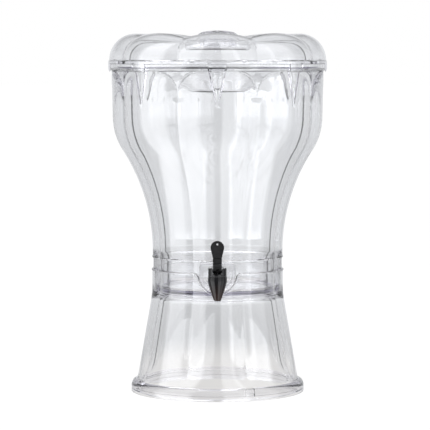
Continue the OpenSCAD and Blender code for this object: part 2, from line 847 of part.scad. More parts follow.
// helix of round wire between two heights
module return_spring() {
  sides = 6;
  per_turn = 12;
  count = spring_turns * per_turn;
  rise = spring_high - spring_low - 2 * wire_r;
  rings = [for (i = [0:count])
    let (a = i * 360 / per_turn, z = spring_low + wire_r + rise * i / count)
    [for (k = [0:sides - 1])
      let (b = k * 360 / sides, r = spring_r + wire_r * cos(b))
      [r * cos(a), r * sin(a), z - wire_r * sin(b)]]];
  gaps = [for (i = [0:count - per_turn], p = rings[i], q = rings[i + per_turn]) norm(p - q)];
  echo(spring_gap = min(gaps));
  color([0.75, 0.76, 0.78])
    translate([0, tap_y, 0])
      loft(rings);
}

module lever_pin() {
  color([0.75, 0.76, 0.78])
    translate([-lever_w / 2 + 0.1, tap_y, pin_z])
      rotate([0, 90, 0])
        cylinder(r = pin_r, h = lever_w - 0.2);
}

module tap_lever() {
  head_z = pin_z + head_up;
  color([0.03, 0.03, 0.035])
    difference() {
      translate([0, tap_y, 0])
        union() {
          translate([-lever_w / 2, 0, pin_z + cam_off])
            rotate([0, 90, 0])
              cylinder(r = cam_r, h = lever_w);
          translate([-lever_w / 2, -neck_t / 2, pin_z + cam_off])
            cube([lever_w, neck_t, paddle_z - pin_z - cam_off]);
          translate([0, paddle_t / 2, 0])
            rotate([90, 0, 0])
              linear_extrude(paddle_t) {
                translate([0, head_z])
                  circle(head_r);
                polygon([[-lever_w / 2, paddle_z - 2], [lever_w / 2, paddle_z - 2],
                  [head_r, head_z], [-head_r, head_z]]);
              }
        }
      translate([-lever_w, tap_y, pin_z])
        rotate([0, 90, 0])
          cylinder(r = pin_r + pin_fit, h = 2 * lever_w);
      translate([-eye_t / 2 - eye_gap, tap_y - cam_r - past, pin_z - cam_r])
        cube([eye_t + 2 * eye_gap, cam_r + past + eye_r + eye_gap, cam_r + eye_r + eye_gap]);
      translate([0, tap_y + paddle_t, head_z + head_r / 2])
        rotate([90, 0, 0])
          cylinder(r = head_hole_r, h = 2 * paddle_t);
    }
}

base_stand();
foot_ring();
tank();
ice_bowl();
lid();
lid_knob();
knob_screw();
tap_body();
tap_bonnet();
bonnet_gasket();
stem_seal();
outer_washer();
inner_washer();
shank_nut();
valve_stem();
seat_cup();
return_spring();
lever_pin();
tap_lever();
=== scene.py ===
"""Clear drink dispenser with a lever tap: meshes, materials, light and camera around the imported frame."""

from math import asin, atan, copysign, cos, degrees, hypot, pi, radians, sin, sqrt, tan

import bmesh
import bpy
from mathutils import Matrix, Vector


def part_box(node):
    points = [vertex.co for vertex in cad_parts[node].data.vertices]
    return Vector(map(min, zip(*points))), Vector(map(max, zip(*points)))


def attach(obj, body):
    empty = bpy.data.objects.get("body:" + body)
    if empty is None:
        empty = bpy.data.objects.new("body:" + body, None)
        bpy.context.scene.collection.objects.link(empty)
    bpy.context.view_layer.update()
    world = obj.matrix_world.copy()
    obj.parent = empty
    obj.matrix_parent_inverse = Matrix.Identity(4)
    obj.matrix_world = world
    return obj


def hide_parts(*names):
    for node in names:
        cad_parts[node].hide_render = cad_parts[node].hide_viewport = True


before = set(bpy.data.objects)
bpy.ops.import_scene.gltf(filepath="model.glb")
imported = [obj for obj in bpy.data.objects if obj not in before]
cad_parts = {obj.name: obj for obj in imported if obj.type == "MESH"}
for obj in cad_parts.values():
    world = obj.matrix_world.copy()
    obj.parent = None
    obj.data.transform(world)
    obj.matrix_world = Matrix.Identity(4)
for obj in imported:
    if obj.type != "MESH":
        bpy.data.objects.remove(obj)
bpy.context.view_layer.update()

MM = 0.001
# how far a cutter runs past a face
OVERCUT = 1 * MM

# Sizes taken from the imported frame
TANK_LOW, TANK_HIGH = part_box("tank")
STAND_LOW, STAND_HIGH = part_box("base_stand")
RING_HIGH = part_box("foot_ring")[1]
LID_LOW, LID_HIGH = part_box("lid")
KNOB_LOW, KNOB_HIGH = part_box("lid_knob")
BOWL_LOW, BOWL_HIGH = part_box("ice_bowl")
TAP_LOW, TAP_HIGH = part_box("tap_body")
BONNET_LOW, BONNET_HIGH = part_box("tap_bonnet")
LEVER_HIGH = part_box("tap_lever")[1]
PIN_LOW, PIN_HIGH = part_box("lever_pin")
NUT_LOW, NUT_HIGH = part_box("shank_nut")
WASHER_LOW, WASHER_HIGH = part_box("outer_washer")

# Lobes
LOBES = 8
PITCH = 2 * pi / LOBES
HALF = PITCH / 2
FRONT = -pi / 2
LOBE_STEPS = 28
CROWN_LOBE = 8 * MM
WAIST_LOBE = 4.7 * MM
SKIRT_LOBE = 6 * MM
FURROW_ROUND = 0.8 * MM
FURROW_ROUND_IN = 5 * MM
COVE_ROUND = 0.8 * MM
COVE_ROUND_IN = 5 * MM
# beads along the arches that close the furrows; start and end are shares of the cove
ARCH_BEAD = 2 * MM
ARCH_STEPS = 20
ARCH_TAPER = 10
ARCH_START = 0.1
ARCH_END = 0.82

# Tank
TANK_WALL = 3 * MM
TANK_FLOOR = 5 * MM
RIM_LIP = 2 * MM
CROWN_DRAFT = 1.5 * MM
RIM_H = 9 * MM
RIM_ROUND = 0.6 * MM
RIM_STEP = 3 * MM
COVE_H = 37 * MM
CROWN_H = 74 * MM
TULIP_H = 190 * MM
WAIST_H = 8 * MM
NECK_H = 14.5 * MM
NECK_STEP = 0.9 * MM
SHOULDER_ARC = 87 * MM
FLOOR_FILLET = 5 * MM
PLUG_ROUND = 1.5 * MM
PLUG_GAP = 0.4 * MM
NECK_EDGE = 0.3 * MM
# soft corners of the step over the neck
STEP_FOOT_H, STEP_FOOT_R = 0.2 * MM, 0.1 * MM
STEP_BROW_H, STEP_BROW_R = 0.5 * MM, 0.25 * MM
STAND_WALL = 2.8 * MM
COLLAR_FLUSH = 0.7 * MM

SHELF_Z = TANK_LOW.z
COLLAR_Z = STAND_HIGH.z
RIM_Z = TANK_HIGH.z
RIM_R = TANK_HIGH.x
RIM_LOW_Z = RIM_Z - RIM_H
CROWN_TOP_R = RIM_R - RIM_LIP
CROWN_R = CROWN_TOP_R - CROWN_DRAFT
SHOULDER_Z = RIM_Z - CROWN_H
WAIST_Z = SHOULDER_Z - TULIP_H
STEP_Z = WAIST_Z - WAIST_H
NECK_Z = STEP_Z - NECK_H
COVE_Z = RIM_LOW_Z - COVE_H
WAIST_R = 91.3 * MM
COLLAR_R = WAIST_R + COLLAR_FLUSH
PLUG_R = COLLAR_R - STAND_WALL - PLUG_GAP
NECK_R = WAIST_R - NECK_STEP
TULIP_TURN = 2 * atan((CROWN_R - WAIST_R) / TULIP_H)
WAIST_ARC = TULIP_H / sin(TULIP_TURN) - SHOULDER_ARC
TULIP_JOIN = WAIST_Z + WAIST_ARC * sin(TULIP_TURN)

# Corbels and tap pad
BOWL_WALL = 2.5 * MM
BOWL_Z = BOWL_HIGH.z - BOWL_WALL
CORBEL_R = 14 * MM
CORBEL_SINK = 7 * MM
CORBEL_TIP_R = 0.8 * MM
CORBEL_H = 54 * MM
CORBEL_TIP_AXIS = CROWN_R - TANK_WALL / 2
CORBEL_TOP_AXIS = CROWN_R - TANK_WALL + CORBEL_SINK
CORBEL_CLIP = CROWN_R - TANK_WALL / 3
CORBEL_WALL = 2.5 * MM
CORBEL_STRETCH = 1.2
DENT_TIP_AXIS = CROWN_R + 0.9 * MM
DENT_H = CORBEL_H - 6 * MM
DENT_TOP = RIM_LOW_Z - 1 * MM
PAD_R = 20.5 * MM
PAD_STEP = 4 * MM
PAD_FACE_T = 1.5 * MM
PAD_WALL = 4 * MM
PAD_ROUND = 1.3 * MM
PAD_Y = WASHER_HIGH.y
PAD_OUT_R = PAD_R + PAD_STEP
PAD_TOP = STEP_Z - 1 * MM
PAD_BACK_Y = -(PLUG_R - TANK_WALL) + 6 * MM
POCKET_R = PAD_OUT_R - TANK_WALL
POCKET_Y = PAD_Y + PAD_WALL
NOTCH_R = PAD_OUT_R + 2.5 * MM
NOTCH_FILLET = 9 * MM
# beads along the step of the tank and the top of the collar
EDGE_BEAD = 1.7 * MM
EDGE_BEAD_SINK = 0.7 * MM
BEAD_STEPS = 240
BEAD_SIDES = 10

# Tap
TAP_Y = (BONNET_LOW.y + BONNET_HIGH.y) / 2
TAP_Z = (WASHER_LOW.z + WASHER_HIGH.z) / 2
SHANK_R = 7.5 * MM
SHANK_HOLE_R = SHANK_R + 0.25 * MM
SHANK_BORE_R = 4.2 * MM
FLANGE_R = WASHER_HIGH.x
PIN_Z = (PIN_LOW.z + PIN_HIGH.z) / 2


def smooth_max(a, b, k):
    """The larger of two values, rounded over k where they are close."""
    return max(a, b) + max(0.0, k - abs(a - b)) ** 2 / (4 * k)


def polar(r, a, z):
    """Point at a radius, an angle and a height."""
    return r * cos(a), r * sin(a), z


def full_turn(count):
    """Angles all round in equal steps."""
    return [2 * pi * j / count for j in range(count)]


def quarter_turn(steps):
    """Angles of a quarter in equal steps, with both ends."""
    return [pi / 2 * i / steps for i in range(steps + 1)]


def lobe_radius(u, crest, depth, rounding=FURROW_ROUND):
    """Radius at u half pitches off a crest: arcs between furrows of that depth."""
    if depth < 1e-6:
        return crest
    furrow = crest - depth
    s = crest - furrow * cos(HALF)
    c = furrow * sin(HALF)
    r = (c * c + s * s) / (2 * s)
    d = crest - r

    def arc(a):
        return d * cos(a) + sqrt(max(0.0, r * r - (d * sin(a)) ** 2))

    a = u * HALF
    return smooth_max(arc(a), arc(a - copysign(PITCH, a)), min(rounding, depth / 2))


LOBE_U = [sin(pi / 2 * (2 * k / LOBE_STEPS - 1)) for k in range(LOBE_STEPS)]
AROUND = [(u, FRONT + i * PITCH + u * HALF) for i in range(LOBES) for u in LOBE_U]


def lobe_ring(z, crest, depth, cove=0.0, inset=0.0):
    """One ring of points; cove is the least radius, and inset moves the ring inwards."""
    ring = []
    rounding = FURROW_ROUND_IN if inset else FURROW_ROUND
    for u, a in AROUND:
        r = lobe_radius(u, crest, depth, rounding)
        if cove:
            r = smooth_max(r, cove, COVE_ROUND_IN if inset else COVE_ROUND)
        ring.append(polar(r - inset, a, z))
    return ring


def lobed(path, depth):
    """Rings along (radius, height) points, with one depth of furrow."""
    return [lobe_ring(z, r, depth) for r, z in path]


def put(name, data):
    """New object in the scene."""
    obj = bpy.data.objects.new(name, data)
    bpy.context.scene.collection.objects.link(obj)
    return obj


def loft(name, rings, looped=False):
    """Closed mesh through rings of equal length, its faces outwards."""
    n, m = len(rings[0]), len(rings)
    faces = []
    for i in range(m if looped else m - 1):
        t = (i + 1) % m
        for j in range(n):
            k = (j + 1) % n
            faces.append((i * n + j, i * n + k, t * n + k, t * n + j))
    if not looped:
        faces.append(tuple(reversed(range(n))))
        faces.append(tuple(range((m - 1) * n, m * n)))
    mesh = bpy.data.meshes.new(name)
    mesh.from_pydata([p for ring in rings for p in ring], [], faces)
    bm = bmesh.new()
    bm.from_mesh(mesh)
    bmesh.ops.recalc_face_normals(bm, faces=bm.faces)
    bm.to_mesh(mesh)
    bm.free()
    return put(name, mesh)


def lathe(name, path, count=160, looped=False):
    """Turned mesh of (radius, height) points; a path that isn't looped ends flat."""
    return loft(name, [[polar(r, a, z) for a in full_turn(count)] for r, z in path], looped)


def rod(name, r, low, high, count=96):
    """Upright round bar."""
    return lathe(name, [(r, low), (r, high)], count)


def arc_points(r0, z0, radius, start, end, steps):
    """Points of an arc round (r0, z0), angles in degrees."""
    angles = [radians(start + (end - start) * i / steps) for i in range(steps + 1)]
    return [(r0 + radius * cos(a), z0 + radius * sin(a)) for a in angles]


def dome_points(r0, z0, run, rise, steps):
    """Quarter of an ellipse round (r0, z0), from its outside to its top."""
    return [(r0 + run * cos(t), z0 + rise * sin(t)) for t in quarter_turn(steps)]


def corners(r0, r1, z0, z1):
    """Section with four corners."""
    return [(r0, z0), (r1, z0), (r1, z1), (r0, z1)]


def sector(name, section, middle, half, steps):
    """Part of a turned (radius, height) section, up to half an angle from its middle angle."""
    angles = [middle - half + 2 * half * j / steps for j in range(steps + 1)]
    return loft(name, [[polar(r, a, z) for r, z in section] for a in angles])


def combine(obj, tool, operation):
    """Applies a boolean with a tool object, which is used up."""
    bpy.context.view_layer.update()
    mod = obj.modifiers.new("combine", "BOOLEAN")
    mod.operation = operation
    mod.object = tool
    mod.solver = "MANIFOLD"
    apply_modifiers(obj)
    bpy.data.objects.remove(tool)


def add(obj, tool):
    """Joins a tool object to a mesh."""
    combine(obj, tool, "UNION")


def cut(obj, tool):
    """Cuts a tool object out of a mesh."""
    combine(obj, tool, "DIFFERENCE")


def apply_modifiers(obj):
    """Bakes the object's modifiers into its mesh."""
    bpy.context.view_layer.update()
    graph = bpy.context.evaluated_depsgraph_get()
    mesh = bpy.data.meshes.new_from_object(obj.evaluated_get(graph))
    obj.modifiers.clear()
    obj.data = mesh


def join(objs):
    """One object of several meshes."""
    bm = bmesh.new()
    for o in objs:
        bm.from_mesh(o.data)
    keep = objs[0]
    bm.to_mesh(keep.data)
    bm.free()
    for o in objs[1:]:
        bpy.data.objects.remove(o)
    return keep


def smooth(obj, sharp):
    """Smooth shading with sharp edges past an angle."""
    obj.data.polygons.foreach_set("use_smooth", [True] * len(obj.data.polygons))
    obj.data.set_sharp_from_angle(angle=radians(sharp))
    even = obj.modifiers.new("even_normals", "WEIGHTED_NORMAL")
    even.mode = "FACE_AREA_WITH_ANGLE"
    even.weight = 80
    even.keep_sharp = True
    apply_modifiers(obj)


def move(obj, matrix):
    """Moves the mesh itself, so that the object stays at the origin."""
    obj.data.transform(matrix)
    return obj


def shift(obj, x, y, z):
    """Moves a mesh by a distance."""
    return move(obj, Matrix.Translation((x, y, z)))


def paint(obj, material):
    """Gives a mesh its one material."""
    obj.data.materials.clear()
    obj.data.materials.append(material)


def piece(obj, body, slot, material, *nodes, sharp=35):
    """Hands a finished mesh to the frame in place of CAD nodes; its edges are sharp past an angle."""
    smooth(obj, sharp)
    paint(obj, material)
    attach(obj, body)
    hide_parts(*nodes)


def turn_to_y(obj):
    """Turns a mesh made along +Z so that it runs along +Y, at the height of the tap."""
    return move(obj, Matrix.Translation((0, 0, TAP_Z)) @ Matrix.Rotation(-pi / 2, 4, "X"))


def u_outline(r, top, steps=40):
    """Upright U in the plane of X and Z: half round below, straight above."""
    return arc_points(0, COLLAR_Z, r, 180, 360, steps) + [(r, top), (-r, top)]


def at_depth(outline, y):
    """Ring of an outline in X and Z, at a depth."""
    return [(x, y, z) for x, z in outline]


def bead(centres, radius, looped=False, taper=0):
    """Round bead along points on a wall that faces outwards; over the steps of a taper it grows."""
    count = len(centres)
    rings = []
    for k, centre in enumerate(centres):
        before = centres[k - 1] if looped else centres[max(k - 1, 0)]
        after = centres[(k + 1) % count] if looped else centres[min(k + 1, count - 1)]
        along = (after - before).normalized()
        across = along.cross(Vector((centre.x, centre.y, 0)).normalized()).normalized()
        out = across.cross(along)
        r = radius * min(1.0, (k + 1) / (taper + 1))
        turns = full_turn(BEAD_SIDES)
        rings.append([centre + r * (cos(t) * out + sin(t) * across) for t in turns])
    return loft("bead", rings, looped)


def waist_spot(turn, z, crest):
    """Point just under the lobed surface at the waist, at a turn from the front."""
    u = (turn - PITCH * round(turn / PITCH)) / HALF
    r = lobe_radius(u, crest, WAIST_LOBE) - EDGE_BEAD_SINK
    return Vector(polar(r, FRONT + turn, z))


def notch_outline(inset=0.0):
    """U whose upper corners round over into the top of the collar."""
    x = sqrt((NOTCH_R + NOTCH_FILLET) ** 2 - NOTCH_FILLET**2)
    turn = degrees(atan(NOTCH_FILLET / x))
    top = COLLAR_Z + OVERCUT
    points = arc_points(x, COLLAR_Z - NOTCH_FILLET, NOTCH_FILLET - inset, 90, 180 - turn, 10)
    points += arc_points(0, COLLAR_Z, NOTCH_R + inset, -turn, turn - 180, 40)[1:]
    points += arc_points(-x, COLLAR_Z - NOTCH_FILLET, NOTCH_FILLET - inset, turn, 90, 10)[1:]
    return points + [(-x, top), (x, top)]


def u_block(name, r, top, front, back, rounding=0.0, steps=4):
    """U-shaped block between two depths, with its front edge rounded."""
    rings = [at_depth(u_outline(r, top), back)]
    if rounding:
        for t in quarter_turn(steps):
            inset = rounding * (1 - cos(t))
            y = front + rounding * (1 - sin(t))
            rings.append(at_depth(u_outline(r - inset, top - inset), y))
    else:
        rings.append(at_depth(u_outline(r, top), front))
    return loft(name, rings)


# Materials


class Wires:
    """Short names for the nodes of a shader tree."""

    def __init__(self, tree):
        self.tree = tree

    def node(self, kind, inputs=None, **settings):
        """New node with its settings and inputs."""
        node = self.tree.nodes.new("ShaderNode" + kind)
        for key, value in settings.items():
            setattr(node, key, value)
        self.fill(node, inputs or {})
        return node

    def fill(self, node, inputs):
        """Gives each named input a value or a link."""
        for name, value in inputs.items():
            self.feed(node.inputs[name], value)

    def feed(self, socket, value):
        """Gives one input a value or a link."""
        if isinstance(value, bpy.types.NodeSocket):
            self.tree.links.new(value, socket)
        else:
            socket.default_value = value

    def worked(self, kind, operation, values):
        """Outputs of a node that takes its values in order."""
        node = self.node(kind, operation=operation)
        for socket, value in zip(node.inputs, values):
            self.feed(socket, value)
        return node.outputs

    def math(self, operation, *values):
        """Result of an operation on numbers."""
        return self.worked("Math", operation, values)["Value"]

    def vector(self, operation, *values):
        """Results of an operation on vectors."""
        return self.worked("VectorMath", operation, values)

    def step(self, value, start, end, low=0.0, high=1.0, kind="SMOOTHSTEP"):
        """Step from low at start to high at end."""
        inputs = {"Value": value, "From Min": start, "From Max": end, "To Min": low, "To Max": high}
        return self.node("MapRange", inputs, interpolation_type=kind).outputs["Result"]

    def colour(self, factor, low, high):
        """Mix of two colours."""
        node = self.node("Mix", data_type="RGBA")
        for socket in node.inputs:
            if socket.type == "RGBA":
                self.feed(socket, low if socket.name == "A" else high)
        self.feed(node.inputs[0], factor)
        return next(o for o in node.outputs if o.type == "RGBA")

    def noise(self, scale, detail, rough, stretch=(1, 1, 1)):
        """Noise texture in object space; scale is per metre."""
        place = self.node("TexCoord").outputs["Object"]
        place = self.node("Mapping", {"Vector": place, "Scale": stretch}).outputs["Vector"]
        inputs = {"Vector": place, "Scale": scale, "Detail": detail, "Roughness": rough}
        return self.node("TexNoise", inputs).outputs["Fac"]

    def ranged(self, noise, low, high):
        """Value between two from a noise."""
        return self.step(noise, *NOISE_SPAN, low, high, "LINEAR")

    def ramped(self, noise, low, high):
        """Colour between two from a noise."""
        ramp = self.node("ValToRGB", {"Fac": noise})
        for stop, position, colour in zip(ramp.color_ramp.elements, NOISE_SPAN, (low, high)):
            stop.position = position
            stop.color = (*colour, 1)
        return ramp.outputs["Color"]

    def bump(self, noise, strength, distance):
        """Normal with a bump from a noise."""
        inputs = {"Height": noise, "Strength": strength, "Distance": distance}
        return self.node("Bump", inputs).outputs["Normal"]

    def heading(self, vector):
        """Level direction of a vector, its level length and its height."""
        split = self.node("SeparateXYZ", {"Vector": vector}).outputs
        level = self.node("CombineXYZ", {"X": split["X"], "Y": split["Y"]}).outputs["Vector"]
        return self.vector("NORMALIZE", level)["Vector"], self.vector("LENGTH", level)["Value"], split["Z"]

    def panel(self, heading, azimuth, half, soft, strength):
        """Upright strip of light at an azimuth from the front, in degrees."""
        a = radians(azimuth)
        toward = self.vector("DOT_PRODUCT", heading, (sin(a), -cos(a), 0))["Value"]
        outer, inner = cos(radians(half + soft)), cos(radians(half))
        return self.step(toward, outer, inner, 0.0, strength)

    def panels(self, heading, strips, total=0.0):
        """Sum of several strips over a plain level."""
        for strip in strips:
            total = self.math("ADD", self.panel(heading, *strip), total)
        return total


def nodes_of(name):
    """New material, its wires and its Principled shader."""
    material = bpy.data.materials.new(name)
    material.use_nodes = True
    tree = material.node_tree
    return material, Wires(tree), tree.nodes["Principled BSDF"]


# the part of a noise's range that is used
NOISE_SPAN = (0.3, 0.7)
CLEAR_TONES = (0.98, 0.982, 0.986), (0.992, 0.993, 0.995)
# colour and density that show where one looks far through the plastic
DEPTH_COLOUR = (0.3, 0.25, 0.45, 1)
DEPTH_TINT = 7.0
GRAIN_DEPTH = 0.05 * MM
BLACK_SPREAD = 1.7


def clear_plastic(name, wave):
    """Moulded clear plastic: faint flow waves, a trace of haze."""
    material, wires, shader = nodes_of(name)
    flow = wires.noise(scale=14, detail=2, rough=0.5, stretch=(1, 1, 0.35))
    haze = wires.noise(scale=60, detail=4, rough=0.6)
    looks = {
        "Base Color": wires.ramped(flow, *CLEAR_TONES),
        "Roughness": wires.ranged(haze, 0.0, 0.03),
        "Normal": wires.bump(flow, 0.3, wave),
        "Transmission Weight": 1,
        "IOR": 1.55,
    }
    wires.fill(shader, looks)
    depth = wires.node("VolumeAbsorption", {"Color": DEPTH_COLOUR, "Density": DEPTH_TINT})
    wires.fill(wires.tree.nodes["Material Output"], {"Volume": depth.outputs["Volume"]})
    return material


def black_plastic(name, colour, rough, grain, foot=None):
    """Moulded black plastic with a fine grain; foot is a painted reflection, given as its colour and the
    heights where it is full and gone.
    """
    material, wires, shader = nodes_of(name)
    cloud = wires.noise(scale=90, detail=4, rough=0.6)
    fine = wires.noise(scale=2600, detail=2, rough=0.5)
    shade = wires.ramped(cloud, colour, tuple(c * BLACK_SPREAD for c in colour))
    # painted reflection: the foot's colour is mixed into the base colour, full at the low height and gone at
    # the high one
    if foot:
        light_tint, low, high = foot
        place = wires.node("TexCoord").outputs["Object"]
        height = wires.node("SeparateXYZ", {"Vector": place}).outputs["Z"]
        shade = wires.colour(wires.step(height, high, low, kind="LINEAR"), shade, (*light_tint, 1))
    looks = {
        "Base Color": shade,
        "Roughness": wires.ranged(cloud, *rough),
        "Normal": wires.bump(fine, grain, GRAIN_DEPTH),
        "IOR": 1.5,
        "Specular IOR Level": 0.2,
    }
    wires.fill(shader, looks)
    return material


def plain_material(name, low, high, rough, metal=0.0, scale=400.0, stretch=(1, 1, 1)):
    """Even material with a fine variation of colour and gloss."""
    material, wires, shader = nodes_of(name)
    texture = wires.noise(scale, detail=3, rough=0.6, stretch=stretch)
    looks = {
        "Base Color": wires.ramped(texture, low, high),
        "Roughness": wires.ranged(texture, *rough),
        "Normal": wires.bump(texture, 0.15, GRAIN_DEPTH),
        "Metallic": metal,
    }
    wires.fill(shader, looks)
    return material


CLEAR = clear_plastic("clear_plastic", 0.35 * MM)
CLEAR_KNOB = clear_plastic("clear_plastic_knob", 0.2 * MM)
BLACK_TONE = (0.006, 0.006, 0.007)
# painted reflection: a brownish colour at the bottom of the nozzle, full at its tip and gone 2 mm under the
# middle of the arm
NOZZLE_PAINTED_REFLECTION = ((0.03, 0.012, 0.007), TAP_LOW.z, TAP_Z - 2 * MM)
BLACK = black_plastic("black_gloss", BLACK_TONE, rough=(0.08, 0.16), grain=0.08)
BLACK_NOZZLE = black_plastic("black_nozzle", BLACK_TONE, rough=(0.05, 0.1), grain=0.08, foot=NOZZLE_PAINTED_REFLECTION)
BLACK_SATIN = black_plastic("black_satin", (0.009, 0.009, 0.0095), rough=(0.32, 0.45), grain=0.35)
RUBBER = plain_material("black_rubber", (0.02, 0.02, 0.021), (0.035, 0.035, 0.036), rough=(0.6, 0.8))
SILICONE = plain_material("silicone", (0.7, 0.7, 0.68), (0.8, 0.8, 0.78), rough=(0.45, 0.6))
STEEL_TONES = (0.55, 0.56, 0.58), (0.72, 0.73, 0.74)
STEEL = plain_material("steel", *STEEL_TONES, rough=(0.2, 0.35), metal=1.0, scale=900.0, stretch=(1, 1, 0.1))


# Tank


def tulip_radius(z):
    """Radius over the lobes between the waist and the shoulder."""
    if z < TULIP_JOIN:
        return WAIST_R + WAIST_ARC - sqrt(WAIST_ARC**2 - (z - WAIST_Z) ** 2)
    return CROWN_R - SHOULDER_ARC + sqrt(SHOULDER_ARC**2 - (SHOULDER_Z - z) ** 2)


def crown_wall(z):
    """Radius over the lobes above the shoulder."""
    return CROWN_R + CROWN_DRAFT * (z - SHOULDER_Z) / (RIM_LOW_Z - SHOULDER_Z)


def lobe_depth(r):
    """Depth of the furrows where the tank has that radius."""
    return WAIST_LOBE + (CROWN_LOBE - WAIST_LOBE) * (r - WAIST_R) / (CROWN_R - WAIST_R)


def cove_level(share):
    """Level of the cove that closes the furrows, from its foot at 0 to the rim at 1."""
    u = sin(pi / 2 * share)
    z = COVE_Z + COVE_H * u
    return z, crown_wall(z), CROWN_LOBE, crown_wall(z) - CROWN_LOBE * sqrt(1 - u * u)


def arch_route():
    """Points (half pitches off the crest, radius, height) where a lobe meets the cove over its furrow."""
    route = []
    for i in range(ARCH_STEPS + 1):
        z, crest, depth, least = cove_level(ARCH_START + (ARCH_END - ARCH_START) * i / ARCH_STEPS)
        low, high = 0.0, 1.0
        for _ in range(30):
            u = (low + high) / 2
            if lobe_radius(u, crest, depth) > least:
                low = u
            else:
                high = u
        route.append((u, least, z))
    return route


def arch_bead(route, lobe, side):
    """Fine bead along one arch, half sunk in the outside of the tank."""
    middle = FRONT + lobe * PITCH
    centres = [Vector(polar(r, middle + side * u * HALF, z)) for u, r, z in route]
    return bead(centres, ARCH_BEAD, taper=ARCH_TAPER)


def wall_levels():
    """(height, crest radius, furrow depth, least radius) up the tank's wall."""
    levels = []
    for i in range(46):
        z = WAIST_Z + TULIP_H * i / 45
        r = tulip_radius(z)
        levels.append((z, r, lobe_depth(r), 0.0))
    for i in range(1, 6):
        z = SHOULDER_Z + (COVE_Z - SHOULDER_Z) * i / 6
        levels.append((z, crown_wall(z), CROWN_LOBE, 0.0))
    levels += [cove_level(i / 32) for i in range(33)]
    return levels


def leaning_cones(name, tip_axis, r, h, clip_r, top):
    """One cone on each lobe that leans out from its tip, cut flat at the top and clipped to a radius."""
    end_r = CORBEL_TIP_R + (r - CORBEL_TIP_R) * CORBEL_STRETCH
    lean = atan((CORBEL_TOP_AXIS - tip_axis) / h)
    place = Matrix.Translation((tip_axis, 0, BOWL_Z - h)) @ Matrix.Rotation(lean, 4, "Y")
    cones = []
    for i in range(LOBES):
        cone = lathe(name, [(CORBEL_TIP_R, 0.0), (end_r, h * CORBEL_STRETCH)], 64)
        cones.append(move(cone, Matrix.Rotation(FRONT + i * PITCH, 4, "Z") @ place))
    cones = join(cones)
    combine(cones, rod("clip", clip_r, SHELF_Z, top, 224), "INTERSECT")
    return cones


def make_tank():
    """Lobed wall inside and out, then beads, corbels and the pad of the tap."""
    levels = wall_levels()
    plug_in = PLUG_R - TANK_WALL
    foot = arc_points(PLUG_R - PLUG_ROUND, SHELF_Z + PLUG_ROUND, PLUG_ROUND, -90, 0, 4)
    foot += [(PLUG_R, NECK_Z), (NECK_R - NECK_EDGE, NECK_Z), (NECK_R, NECK_Z + NECK_EDGE)]
    foot += [(NECK_R, STEP_Z - STEP_FOOT_H), (NECK_R + STEP_FOOT_R, STEP_Z)]
    foot += [(WAIST_R - STEP_BROW_R, STEP_Z + STEP_BROW_H), (WAIST_R, STEP_Z + NECK_STEP)]
    rim_arc = RIM_R - RIM_ROUND
    inner_arc = RIM_R - TANK_WALL + RIM_ROUND
    rim = arc_points(rim_arc, RIM_LOW_Z + RIM_ROUND, RIM_ROUND, -80, 0, 5)
    rim += arc_points(rim_arc, RIM_Z - RIM_ROUND, RIM_ROUND, 0, 90, 5)
    rim += arc_points(inner_arc, RIM_Z - RIM_ROUND, RIM_ROUND, 90, 180, 5)
    rim += arc_points(inner_arc - 2 * RIM_ROUND, RIM_LOW_Z + RIM_STEP, RIM_ROUND, 0, -45, 3)
    fillet_z = SHELF_Z + TANK_FLOOR + FLOOR_FILLET
    floor = [(plug_in, STEP_Z)]
    floor += arc_points(plug_in - FLOOR_FILLET, fillet_z, FLOOR_FILLET, 0, -90, 6)
    rings = lobed(foot, WAIST_LOBE) + [lobe_ring(*level) for level in levels] + lobed(rim, 0)
    rings += [lobe_ring(*level, TANK_WALL) for level in reversed(levels)]
    tank = loft("clear_tank", rings + lobed(floor, WAIST_LOBE))

    step = [waist_spot(t, STEP_Z + EDGE_BEAD, WAIST_R) for t in full_turn(BEAD_STEPS)]
    add(tank, bead(step, EDGE_BEAD, True))
    route = arch_route()
    for lobe in range(LOBES):
        for side in (-1, 1):
            add(tank, arch_bead(route, lobe, side))
    add(tank, leaning_cones("corbels", CORBEL_TIP_AXIS, CORBEL_R, CORBEL_H, CORBEL_CLIP, BOWL_Z))
    dent_r, clip_r = CORBEL_R - CORBEL_WALL, RIM_R + CORBEL_R
    cut(tank, leaning_cones("dents", DENT_TIP_AXIS, dent_r, DENT_H, clip_r, DENT_TOP))
    add(tank, u_block("pad_step", PAD_OUT_R, PAD_TOP, PAD_Y + PAD_FACE_T, PAD_BACK_Y, PAD_ROUND))
    add(tank, u_block("pad_face", PAD_R, PAD_TOP - PAD_STEP, PAD_Y, PAD_BACK_Y, PAD_ROUND))
    cut(tank, u_block("pocket", POCKET_R, PAD_TOP - TANK_WALL, POCKET_Y, PAD_BACK_Y + OVERCUT))
    cut(tank, turn_to_y(rod("hole", SHANK_HOLE_R, PAD_Y - OVERCUT, POCKET_Y + OVERCUT, 64)))
    piece(tank, "tank", "clear_plastic", CLEAR, "tank")


make_tank()


# Ice bowl

BOWL_EDGE = 0.4 * MM
BOWL_MOUTH_R = 90 * MM
BOWL_FLAT_R = 36 * MM
BOWL_CORNER = 5 * MM
BOWL_EASE = 0.9
BOWL_DEPTH = BOWL_Z - BOWL_LOW.z
BOWL_RUN = BOWL_MOUTH_R - BOWL_FLAT_R
BOWL_ARC = BOWL_EASE * (BOWL_RUN**2 + BOWL_DEPTH**2) / (2 * BOWL_DEPTH) - BOWL_CORNER
BOWL_RISE = BOWL_DEPTH - BOWL_ARC - BOWL_CORNER
BOWL_REACH = hypot(BOWL_RUN, BOWL_RISE)
BOWL_TURN = asin((BOWL_ARC + BOWL_CORNER) / BOWL_REACH) + atan(BOWL_RISE / BOWL_RUN)


